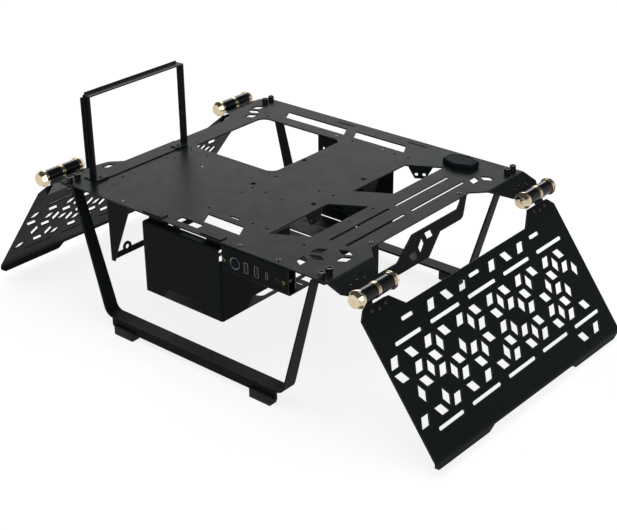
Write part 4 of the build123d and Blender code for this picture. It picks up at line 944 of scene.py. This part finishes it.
@dataclass
class Screws:
    """The small screws of the plate, the leaves, the card frame and the underside."""

    hinge: Hinges = field(default_factory=Hinges)
    leaf_screw: DomedScrew = DomedScrew(2.3, 0.6, 1.5, 1.2, 4.6)
    plate_screw: DomedScrew = DomedScrew(2.6, 1.0, 1.9, 1.5, 3.4)
    fold_x: float = 222.3
    plate_top: float = 194.0
    flange_drop: float = 20.0
    wing_drop: float = 53.5
    wing_sheet_drop: float = 6.0
    pitch: float = 12.3
    flange_row: Span = (19.5, 17.5)
    wing_row: Span = (19.0, 21.0)
    bright: Spots = ((84.8, -192.0), (144.6, -192.0), (198.2, -90.0), (198.2, 90.0))
    card: Spots = ((-186.3, -162.3), (-186.3, -23.2))
    card_seat: float = 197.0
    under: Spots = ((-45.5, 146.0), (34.5, 146.0), (-113.0, -191.5), (-113.0, -50.5))
    under_seat: float = 190.5

    def on_flange(self, side: int, reach: float, y: float) -> Matrix:
        """A place on a sloping flange.

        Args:
            side: -1 on the left and 1 on the right.
            reach: The distance down the slope from the fold.
            y: The place along the fold.

        Returns:
            The matrix of a screw there.
        """
        slope = math.radians(self.flange_drop)
        x = self.fold_x + reach * math.cos(slope)
        z = self.plate_top - reach * math.sin(slope)
        return stood((side * x, y, z), (side * math.sin(slope), 0.0, math.cos(slope)))

    def on_wing(self, side: int, reach: float, y: float) -> Matrix:
        """A place on the outer face of a wing.

        Args:
            side: -1 on the left and 1 on the right.
            reach: The distance from the hinge axis, along the wing.
            y: The place along the axis.

        Returns:
            The matrix of a screw there.
        """
        slope = math.radians(self.wing_drop)
        out, up = math.cos(slope), math.sin(slope)
        x = self.hinge.axis_x + reach * out - self.wing_sheet_drop * up
        z = self.hinge.axis_z - reach * up - self.wing_sheet_drop * out
        return stood((side * x, y, z), (side * up, 0.0, out))

    def leaf_screws(self) -> None:
        """The screws through the flanges and the wings into the hinge leaves."""
        screw = self.leaf_screw.pattern()
        for side, side_name in SIDES:
            body = Body.LEFT_WING if side < 0 else Body.RIGHT_WING
            wing_node = f"{side_name}_wing_screws"
            for end, end_name in ENDS:
                for step in (-1, 0, 1):
                    name = f"{side_name}_{end_name}_{step + 2}"
                    y = end * self.hinge.middle_y + step * self.pitch
                    place = self.on_flange(side, self.flange_row[step == 0], y)
                    screw.hand_over_at(
                        f"flange_screw_{name}", place, Body.BENCH, SHADED_BRASS, "flange_screws"
                    )
                    place = self.on_wing(side, self.wing_row[step == 0], y)
                    screw.hand_over_at(f"wing_screw_{name}", place, body, SHADED_BRASS, wing_node)
        screw.use_up()

    def build(self) -> None:
        """Make all the screws."""
        self.leaf_screws()
        screw = self.plate_screw.pattern()
        for name, spots, seat, way, finish in (
            ("plate_screw", self.bright, self.plate_top, UP, BRASS),
            ("card_frame_screw", self.card, self.card_seat, UP, BLACK_OXIDE),
            ("under_screw", self.under, self.under_seat, DOWN, BLACK_OXIDE),
        ):
            for k, (x, y) in enumerate(spots, 1):
                screw.hand_over_at(f"{name}_{k}", stood((x, y, seat), way), Body.BENCH, finish, f"{name}s")
        screw.use_up()


@dataclass
class ThumbScrews:
    """The fluted thumb screws that hold the legs under the plate."""

    xs: Span = (-210.0, 210.0)
    ys: tuple[float, ...] = (-194.3, -181.0, 181.0, 194.3)
    seat: float = 194.0
    shank: float = 2.0
    length: float = 7.0
    radius: float = 4.3
    collar: float = 1.5
    waist_height: float = 0.35
    waist_depth: float = 0.45
    flare: float = 0.25
    height: float = 7.0
    shoulder: float = 0.5
    flutes: int = 7
    faces_per_flute: int = 8
    flute_half_share: float = 0.25
    flute_rim: float = 0.08
    flute_depth: float = 1.1
    least_area: float = 1.0
    dish_rim: float = 0.6
    dish_depth: float = 1.2
    rounding: float = 0.08

    def in_flute(self, face: bmesh.types.BMFace) -> bool:
        """Whether a side face of the knob lies in one of the flutes and is no narrow band."""
        middle = face.calc_center_median()
        if abs(face.normal.z) > 0.5 or middle.z < self.collar * MM or middle.z > self.height * MM:
            return False
        share = math.atan2(middle.y, middle.x) / (2 * math.pi) * self.flutes % 1.0
        return abs(share - 0.5) < self.flute_half_share and face.calc_area() > self.least_area * MM * MM

    def build(self) -> None:
        """Make one thumb screw and set it in its eight places."""
        sides = self.flutes * self.faces_per_flute
        screw = Workpiece.cylinder("thumb_pattern", self.shank, -self.length, 0.0, sides)
        neck = self.radius - self.waist_depth
        waist = self.collar + self.waist_height
        screw.turn(self.shank, 0.0, (
            (self.radius, 0.0), (self.radius, self.collar), (neck, self.collar), (neck, waist),
            (self.radius, waist + self.flare), (self.radius, self.height - self.shoulder),
            (self.radius - self.shoulder, self.height),
        ))
        screw.pick(self.in_flute)
        bpy.ops.mesh.inset(thickness=self.flute_rim * MM, depth=-self.flute_depth * MM)
        screw.leave()
        screw.sink(UP, self.dish_rim, self.dish_depth)
        screw.round_edges(self.rounding, angle=35.0)
        for x, (_, side_name) in zip(self.xs, SIDES):
            for k, y in enumerate(self.ys, 1):
                place = stood((x, y, self.seat), UP)
                name = f"thumb_screw_{side_name}_{k}"
                screw.hand_over_at(name, place, Body.BENCH, BLACK_OXIDE, "leg_thumb_screws")
        screw.use_up()


@dataclass
class PressNuts:
    """The nuts that are pressed into the square of holes in the middle of the plate."""

    x: float = 27.25
    half_pitch: float = 50.0
    plate_top: float = 194.0
    sheet: float = 2.0
    neck: float = 2.4
    bore: float = 2.6
    rim: float = 3.8
    rim_height: float = 0.12
    barrel: float = 4.2
    depth: float = 5.4
    rounding: float = 0.03

    def build(self) -> None:
        """Make one nut, bored as wide as the hole, and set it in its four holes."""
        nut = Workpiece.cylinder("nut_pattern", self.barrel, -self.depth, -self.sheet)
        nut.turn(self.barrel, -self.sheet, (
            (self.neck, -self.sheet), (self.neck, 0.0), (self.rim, 0.0), (self.rim, self.rim_height),
        ))
        nut.cut(Workpiece.cylinder("nut_bore", self.bore, -2 * self.depth, self.depth))
        nut.round_edges(self.rounding, 1)
        for side, side_name in SIDES:
            for end, end_name in ((-1, "front"), (1, "back")):
                spot = (self.x + side * self.half_pitch, end * self.half_pitch, self.plate_top)
                nut.hand_over_at(f"press_nut_{side_name}_{end_name}", stood(spot, UP), Body.BENCH, DULL_BLACK)
        nut.use_up()


@dataclass
class Feet:
    """The four rubber feet on the lips of the rails."""

    x: float = 119.5
    half_length: float = 17.0
    face_y: float = -204.0
    depth: float = 13.0
    height: float = 13.0
    slot_y: Span = (-200.0, -197.5)
    slot_from: float = 9.0
    past: float = 1.0
    corner: float = 1.0
    rounding: float = 0.45

    def build(self) -> None:
        """Make one foot and set it in its four places."""
        foot = Workpiece.block(
            "foot_pattern", (-self.half_length, self.face_y, 0.0),
            (self.half_length, self.face_y + self.depth, self.height),
        )
        foot.round_corners(UP, self.corner, 3)
        foot.cut(Workpiece.block(
            "foot_slot", (-self.half_length - self.past, self.slot_y[0], self.slot_from),
            (self.half_length + self.past, self.slot_y[1], self.height + self.past),
        ))
        foot.round_edges(self.rounding, 3, 40.0)
        for side, side_name in SIDES:
            shift = Matrix.Translation((side * self.x * MM, 0.0, 0.0))
            for end, end_name in ENDS:
                turn = Matrix.Rotation(math.pi, 4, "Z") if end > 0 else Matrix()
                name = f"foot_{end_name}_{side_name}"
                foot.hand_over_at(name, shift @ turn, Body.BENCH, RUBBER, f"{end_name}_{side_name}_foot")
        foot.use_up()


@dataclass(frozen=True)
class Panel:
    """Where the front panel, its row of ports and the board behind it lie."""

    face_y: float = -200.0
    row_z: float = 173.0
    proud: float = 0.6
    board_y: float = -186.0

    def on_face(self, x: float) -> Matrix:
        """The place on the panel's face at x, with the Z axis of a piece towards the front."""
        return stood((x, self.face_y, self.row_z), FRONT)

    def on_board(self, x: float) -> Matrix:
        """The place on the board at x, with the Z axis of a piece towards the front."""
        return stood((x, self.board_y, self.row_z), FRONT)


PANEL = Panel()


@dataclass(frozen=True)
class Port:
    """One kind of port: a metal shell with a plastic tongue and a row of contacts, made about x = 0."""

    name: str
    node: str
    xs: tuple[float, ...]
    half: Span
    corner: float
    tongue_half: Span
    tongue_x: float
    contact_x: float
    contact_count: int
    contact_pitch: float
    contact_width: float
    wall: float = 0.4
    shell_depth: float = 12.0
    shell_rounding: float = 0.12
    tongue_span: Span = (0.4, 11.0)
    tongue_rounding: float = 0.15
    contact_span: Span = (1.0, 9.0)
    contact_bed: float = 0.05
    contact_proud: float = 0.12
    contact_rounding: float = 0.03

    def shell(self) -> Workpiece:
        """The hollow shell.

        Returns:
            The shell, in its place along Y and Z.
        """
        wide, tall = self.half
        shell = Workpiece.block(
            f"{self.name}_pattern", (-wide, PANEL.face_y - PANEL.proud, PANEL.row_z - tall),
            (wide, PANEL.board_y, PANEL.row_z + tall),
        )
        shell.round_corners(BACK, self.corner, 5)
        shell.sink(FRONT, self.wall, self.shell_depth)
        shell.round_edges(self.shell_rounding)
        return shell

    def tongue(self) -> Workpiece:
        """The plastic tongue inside the shell.

        Returns:
            The tongue, in its place along Y and Z.
        """
        wide, tall = self.tongue_half
        first, last = (PANEL.face_y + y for y in self.tongue_span)
        tongue = Workpiece.block(
            f"{self.name}_tongue_pattern", (self.tongue_x - wide, first, PANEL.row_z - tall),
            (self.tongue_x + wide, last, PANEL.row_z + tall),
        )
        tongue.round_edges(self.tongue_rounding)
        return tongue

    def contacts(self) -> Workpiece:
        """The row of contacts on the tongue.

        Returns:
            The contacts, in their place along Y and Z.
        """
        low = PANEL.row_z - (self.contact_count - 1) * self.contact_pitch / 2
        first, last = (PANEL.face_y + y for y in self.contact_span)
        row = Workpiece.block(
            f"{self.name}_contact_pattern",
            (self.contact_x - self.contact_bed, first, low - self.contact_width / 2),
            (self.contact_x + self.contact_proud, last, low + self.contact_width / 2),
        )
        row.round_edges(self.contact_rounding, 1)
        row.repeat(self.contact_count, (0, 0, self.contact_pitch))
        return row

    def build(self) -> None:
        """Make the port in each of its places."""
        parts = (
            ("shell", self.shell(), WARM_NICKEL), ("tongue", self.tongue(), MOULDED),
            ("contacts", self.contacts(), WARM_NICKEL),
        )
        for k, x in enumerate(self.xs, 1):
            number = f"_{k}" if len(self.xs) > 1 else ""
            place = Matrix.Translation((x * MM, 0.0, 0.0))
            for part, pattern, finish in parts:
                pattern.hand_over_at(f"{self.name}_{part}{number}", place, Body.BENCH, finish, self.node)
        for _, pattern, _ in parts:
            pattern.use_up()


@dataclass
class FrontPorts:
    """The ports on the front panel."""

    usb_a: Port = Port(
        "usb", "usb_a_ports", (102.0, 118.0), half=(3.0, 6.6), corner=0.5, tongue_half=(0.75, 4.9),
        tongue_x=-0.9, contact_x=-0.15, contact_count=4, contact_pitch=2.3, contact_width=1.2,
    )
    usb_c: Port = Port(
        "usb_c", "usb_c_port", (134.0,), half=(1.7, 4.5), corner=1.6, tongue_half=(0.35, 3.1),
        tongue_x=0.0, contact_x=0.35, contact_count=8, contact_pitch=0.7, contact_width=0.35,
    )
    jack_x: float = 150.0
    jack_radius: float = 3.2
    jack_span: Span = (-14.0, 0.25)
    jack_mouth: float = 2.75
    jack_sides: int = 40
    jack_bore: float = 2.2
    bore_span: Span = (-12.0, 2.0)
    jack_rounding: float = 0.10
    throat_span: Span = (-12.0, -1.0)
    throat_bore: float = 1.8
    throat_bore_span: Span = (-11.0, 1.0)
    throat_rounding: float = 0.08

    def jack(self) -> None:
        """The audio jack with its metal throat."""
        jack = Workpiece.cylinder("jack_barrel", self.jack_radius, *self.jack_span, self.jack_sides)
        jack.turn(self.jack_radius, self.jack_span[1], ((self.jack_mouth, PANEL.proud),))
        jack.cut(Workpiece.cylinder("jack_bore", self.jack_bore, *self.bore_span))
        jack.round_edges(self.jack_rounding)
        throat = Workpiece.cylinder("jack_throat", self.jack_bore, *self.throat_span)
        throat.cut(Workpiece.cylinder("jack_throat_bore", self.throat_bore, *self.throat_bore_span))
        throat.round_edges(self.throat_rounding)
        for piece, finish in ((jack, MOULDED), (throat, WARM_NICKEL)):
            piece.move(PANEL.on_face(self.jack_x))
            piece.hand_over(Body.BENCH, finish, "audio_jack")

    def build(self) -> None:
        """Make the ports."""
        self.usb_a.build()
        self.usb_c.build()
        self.jack()


@dataclass
class PowerButton:
    """The power button, its lit ring, its bezel and the switch behind it."""

    x: float = 84.0
    stem: float = 2.2
    stem_span: Span = (-8.55, -3.15)
    cap_steps: Spots = (
        (7.4, -3.15), (7.4, -1.65), (6.6, -1.65), (6.6, 0.2), (6.3, 0.9), (5.6, 1.6), (4.5, 2.05), (2.8, 2.2),
    )
    cap_sides: int = 64
    cap_rounding: float = 0.12
    lit_radii: Span = (6.85, 7.4)
    lit_top: float = 0.35
    bezel_radii: Span = (7.4, 8.0)
    bezel_top: float = 0.5
    ring_back: float = -1.5
    ring_bore: Span = (-3.0, 3.0)
    ring_sides: int = 72
    rounding: float = 0.10
    switch_half: float = 3.1
    switch_height: float = 3.8
    switch_corner: float = 0.4
    switch_rim: float = 0.7
    switch_dish: float = 0.35

    def cap(self) -> None:
        """The cap that is pressed, on its stem."""
        cap = Workpiece.cylinder("button_cap", self.stem, *self.stem_span, self.cap_sides)
        cap.turn(self.stem, self.stem_span[1], self.cap_steps)
        cap.round_edges(self.cap_rounding, angle=20.0)
        cap.move(PANEL.on_face(self.x))
        cap.hand_over(Body.BUTTON, BUTTON_PLASTIC, "power_button")

    def rings(self) -> None:
        """The lit ring and the bezel round it."""
        for name, (inner, outer), top, finish in (
            ("button_lit_ring", self.lit_radii, self.lit_top, LIT_BLUE),
            ("button_bezel", self.bezel_radii, self.bezel_top, MOULDED),
        ):
            ring = Workpiece.cylinder(name, outer, self.ring_back, top, self.ring_sides)
            ring.cut(Workpiece.cylinder(f"{name}_bore", inner, *self.ring_bore, self.ring_sides))
            ring.round_edges(self.rounding)
            ring.move(PANEL.on_face(self.x))
            ring.hand_over(Body.BENCH, finish, "button_light_ring")

    def switch(self) -> None:
        """The switch on the board."""
        half = self.switch_half
        switch = Workpiece.block("switch_body", (-half, -half, 0.0), (half, half, self.switch_height))
        switch.round_corners(UP, self.switch_corner, 2)
        switch.sink(UP, self.switch_rim, self.switch_dish)
        switch.round_edges(self.rounding)
        switch.move(PANEL.on_board(self.x))
        switch.hand_over(Body.BENCH, MOULDED, "push_switch")

    def build(self) -> None:
        """Make the button with all that belongs to it."""
        self.cap()
        self.rings()
        self.switch()


@dataclass
class PanelBoard:
    """The board behind the panel with its parts, its spacers and the screws that hold it."""

    thick: float = 1.6
    low: Span = (64.0, 158.5)
    high: Span = (164.0, 186.0)
    corner: float = 1.5
    rounding: float = 0.10
    screw_xs: Span = (67.0, 159.5)
    drill: float = 1.4
    drill_span: Span = (-4.0, 4.0)
    header_low: Span = (96.0, 162.0)
    header_high: Span = (124.0, 169.0)
    header_height: float = 8.0
    header_wall: float = 0.8
    header_well: float = 6.5
    header_rounding: float = 0.20
    pin_low: Span = (98.0, 164.3)
    pin_high: Span = (98.6, 164.9)
    pin_span: Span = (1.0, 6.5)
    pin_rounding: float = 0.08
    pin_columns: int = 10
    pin_column_step: float = 2.55
    pin_rows: int = 2
    pin_row_step: float = 2.54
    chip_low: Span = (134.0, 165.0)
    chip_high: Span = (141.0, 172.0)
    chip_height: float = 1.0
    part_rounding: float = 0.15
    can_radius: float = 2.2
    can_base: float = 0.6
    can_steps: Spots = ((2.0, 0.9), (2.2, 1.2), (2.2, 5.0))
    can_xs: tuple[float, ...] = (72.0, 147.0, 153.0)
    can_z: float = 179.0
    spacer_radius: float = 2.9
    spacer_length: float = 12.5
    spacer_rounding: float = 0.25
    screw: DomedScrew = DomedScrew(2.6, 1.2, 1.8, 1.3, 17.0)

    @property
    def back(self) -> float:
        """Where the back of the board is."""
        return PANEL.board_y + self.thick

    def standing(self, name: str, low: Span, high: Span, reach: Span) -> Workpiece:
        """Start a block that stands on the back of the board.

        Args:
            name: Its name.
            low: Its lower corner along X and Z.
            high: Its upper corner along X and Z.
            reach: Its near and far end, from the board.

        Returns:
            The block.
        """
        near, far = (self.back + y for y in reach)
        return Workpiece.block(name, (low[0], near, low[1]), (high[0], far, high[1]))

    def sheet(self) -> None:
        """The board itself, drilled for its screws."""
        board = self.standing("board_sheet", self.low, self.high, (-self.thick, 0.0))
        board.round_corners(BACK, self.corner)
        for x in self.screw_xs:
            drill = Workpiece.cylinder("board_drill", self.drill, *self.drill_span, 24)
            drill.move(PANEL.on_board(x))
            board.cut(drill)
        board.round_edges(self.rounding, 1)
        board.hand_over(Body.BENCH, SOLDER_MASK, "io_board")

    def parts(self) -> None:
        """The header with its pins, the chip and the capacitors."""
        header = self.standing("board_header", self.header_low, self.header_high, (0.0, self.header_height))
        header.sink(BACK, self.header_wall, self.header_well)
        header.round_edges(self.header_rounding)
        header.hand_over(Body.BENCH, MOULDED)
        pins = self.standing("board_header_pins", self.pin_low, self.pin_high, self.pin_span)
        pins.round_edges(self.pin_rounding, 1)
        pins.repeat(self.pin_columns, (self.pin_column_step, 0, 0))
        pins.repeat(self.pin_rows, (0, 0, self.pin_row_step))
        pins.hand_over(Body.BENCH, WARM_NICKEL)
        chip = self.standing("board_chip", self.chip_low, self.chip_high, (0.0, self.chip_height))
        chip.round_edges(self.part_rounding)
        chip.hand_over(Body.BENCH, MOULDED)
        can = Workpiece.cylinder("capacitor_pattern", self.can_radius, 0.0, self.can_base)
        can.turn(self.can_radius, self.can_base, self.can_steps)
        can.round_edges(self.part_rounding, angle=20.0)
        for k, x in enumerate(self.can_xs, 1):
            place = stood((x, self.back, self.can_z), BACK)
            can.hand_over_at(f"board_capacitor_{k}", place, Body.BENCH, WARM_NICKEL)
        can.use_up()

    def fixings(self) -> None:
        """The six-sided spacers and the screws through them."""
        spacer = Workpiece.cylinder("spacer_pattern", self.spacer_radius, 0.0, self.spacer_length, 6)
        spacer.round_edges(self.spacer_rounding)
        screw = self.screw.pattern()
        for k, x in enumerate(self.screw_xs, 1):
            place = PANEL.on_board(x)
            spacer.hand_over_at(f"board_spacer_{k}", place, Body.BENCH, SHADED_BRASS, "io_board_spacers")
            screw.hand_over_at(f"panel_screw_{k}", PANEL.on_face(x), Body.BENCH, BRASS, "io_panel_screws")
        spacer.use_up()
        screw.use_up()

    def build(self) -> None:
        """Make the board with all that is on it."""
        self.sheet()
        self.parts()
        self.fixings()


@dataclass
class Puck:
    """The long six-sided puck that lies on the plate."""

    x: float = 147.3
    y: float = 167.0
    seat: float = 194.0
    half_width: float = 22.8
    side_half: float = 9.2
    point: float = 17.6
    height: float = 7.6
    corner: float = 1.5
    chamfer: float = 1.2
    tray_rim: float = 1.6
    tray_depth: float = 0.3
    rounding: float = 0.15

    def build(self) -> None:
        """Make the puck."""
        middle = (0.0, 0.0, 0.0)
        puck = Workpiece.cylinder("puck", self.point, 0.0, self.height, 6)
        puck.pick(lambda face: True)
        stretch = self.half_width / (self.point * math.cos(math.radians(30)))
        bpy.ops.transform.resize(value=(stretch, 1.0, 1.0), center_override=middle)
        puck.leave()
        puck.pick(lambda face: abs(face.normal.x) > SAME_WAY)
        stretch = self.side_half / (self.point / 2)
        bpy.ops.transform.resize(value=(1.0, stretch, 1.0), center_override=middle)
        puck.leave()
        puck.round_corners(UP, self.corner)
        puck.pick_side(UP)
        bpy.ops.mesh.bevel(offset=self.chamfer * MM, segments=1, affect="EDGES")
        puck.leave()
        puck.sink(UP, self.tray_rim, self.tray_depth)
        puck.round_edges(self.rounding, angle=20.0)
        puck.move(stood((self.x, self.y, self.seat), UP))
        puck.hand_over(Body.BENCH, PUCK_PLASTIC, "plate_puck")


@dataclass(frozen=True)
class SoftBox:
    """A soft box: its place and size in metres, how bright its face is, and whether gloss shows it."""

    name: str
    place: tuple[float, float, float]
    size: Span
    radiance: float
    mirrored: bool

    def build(self, target: Vector) -> None:
        """Make the lamp, facing a point.

        Args:
            target: The point.
        """
        wide, high = self.size
        data = bpy.data.lights.new(self.name, "AREA")
        data.shape = "RECTANGLE"
        data.size = wide
        data.size_y = high
        data.energy = self.radiance * math.pi * wide * high
        lamp = bpy.data.objects.new(self.name, data)
        place = Vector(self.place)
        turn = (target - place).to_track_quat("-Z", "Y").to_matrix().to_4x4()
        lamp.matrix_world = Matrix.Translation(place) @ turn
        lamp.visible_camera = False
        lamp.visible_glossy = self.mirrored
        bpy.context.scene.collection.objects.link(lamp)


@dataclass
class Studio:
    """The floor, the lamps, the world and the camera."""

    middle: Vector = field(default_factory=lambda: Vector((0.0, 0.0, 0.15)))
    camera_place: tuple[float, float, float] = (1.04336, -1.19182, 0.87312)
    azimuth: float = 40.50
    elevation: float = 27.04
    roll: float = -0.619
    lens: float = 77.67
    sensor: float = 36.0
    sight: float = 200.0
    floor_half: float = 30.0
    backdrop_radius: float = 26.0
    backdrop_height: float = 7.0
    backdrop_sides: int = 96
    floor_glow: float = 0.82
    floor_colour: float = 0.24
    floor_bounce: float = 0.30
    sky: Colour = (0.09, 0.092, 0.096)
    lamps: tuple[SoftBox, ...] = (
        SoftBox("soft_box_back_left", (-2.0, 2.35, 1.72), (2.4, 1.5), 4.4, True),
        SoftBox("soft_box_front_left", (-2.3, -1.7, 1.3), (2.0, 1.4), 1.4, True),
        SoftBox("soft_box_front_right", (2.4, -1.9, 1.2), (2.0, 1.4), 2.4, True),
        SoftBox("soft_box_back_right", (2.3, 2.4, 1.6), (2.0, 1.4), 0.4, True),
        SoftBox("soft_box_right", (2.9, 0.2, 0.6), (2.0, 0.8), 4.0, False),
        SoftBox("soft_box_above", (0.2, -0.2, 2.6), (2.4, 2.4), 2.4, False),
    )

    def camera(self) -> None:
        """Make the camera at the photograph's viewing angle."""
        turn, lift, roll = (math.radians(a) for a in (self.azimuth, self.elevation, self.roll))
        back = Vector((math.sin(turn) * math.cos(lift), -math.cos(turn) * math.cos(lift), math.sin(lift)))
        level = Vector((math.cos(turn), math.sin(turn), 0.0))
        upright = back.cross(level)
        right = level * math.cos(roll) + upright * math.sin(roll)
        up = upright * math.cos(roll) - level * math.sin(roll)
        data = bpy.data.cameras.new("camera")
        data.lens = self.lens
        data.sensor_width = self.sensor
        data.clip_end = self.sight
        camera = bpy.data.objects.new("camera", data)
        axes = Matrix((right, up, back)).transposed().to_4x4()
        camera.matrix_world = Matrix.Translation(self.camera_place) @ axes
        bpy.context.scene.collection.objects.link(camera)
        bpy.context.scene.camera = camera

    def white(self) -> bpy.types.Material:
        """The stage's material: white to the camera and in gloss, and grey in the light that it returns.

        Returns:
            The material.
        """
        tree = MaterialTree("floor_white")
        glow = tree.node("Emission", Strength=self.floor_glow)
        lit = tree.node("BsdfDiffuse", Color=opaque((self.floor_colour,) * 3))
        shown = tree.node("AddShader")
        tree.join(glow.outputs["Emission"], shown.inputs[0])
        tree.join(lit.outputs["BSDF"], shown.inputs[1])
        bounce = tree.node("BsdfDiffuse", Color=opaque((self.floor_bounce,) * 3))
        rays = tree.node("LightPath")
        seen = rays.outputs["Is Camera Ray"]
        for kind in ("Is Glossy Ray", "Is Transmission Ray"):
            larger = tree.node("Math")
            larger.operation = "MAXIMUM"
            tree.join(seen, larger.inputs[0])
            tree.join(rays.outputs[kind], larger.inputs[1])
            seen = larger.outputs["Value"]
        choice = tree.node("MixShader")
        tree.join(seen, choice.inputs["Fac"])
        tree.join(bounce.outputs["BSDF"], choice.inputs[1])
        tree.join(shown.outputs["Shader"], choice.inputs[2])
        tree.join(choice.outputs["Shader"], tree.surface)
        return tree.material

    def stage(self) -> None:
        """Make the pale floor, which keeps the shadow, and a low backdrop round it."""
        bpy.ops.mesh.primitive_plane_add(size=2 * self.floor_half)
        floor = bpy.context.object
        floor.name = "floor"
        bpy.ops.mesh.primitive_cylinder_add(
            vertices=self.backdrop_sides, radius=self.backdrop_radius, depth=self.backdrop_height,
            end_fill_type="NOTHING", location=(0.0, 0.0, self.backdrop_height / 2),
        )
        backdrop = bpy.context.object
        backdrop.name = "backdrop"
        material = self.white()
        for surface in (floor, backdrop):
            surface.data.materials.append(material)

    def build(self) -> None:
        """Make the whole studio."""
        self.camera()
        self.stage()
        for lamp in self.lamps:
            lamp.build(self.middle)
        world = bpy.data.worlds.new("studio")
        world.use_nodes = True
        world.node_tree.nodes["Background"].inputs["Color"].default_value = opaque(self.sky)
        bpy.context.scene.world = world
        bpy.context.scene.view_settings.view_transform = "Standard"


def main() -> None:
    """Build the bench's looks in order."""
    logging.basicConfig(level=logging.INFO, format="%(message)s")
    assemblies = (
        Studio(), Sheetwork(), Hinges(), Screws(), ThumbScrews(), PressNuts(), Feet(), FrontPorts(),
        PowerButton(), PanelBoard(), Puck(),
    )
    for assembly in assemblies:
        assembly.build()


if __name__ == "__main__":
    main()
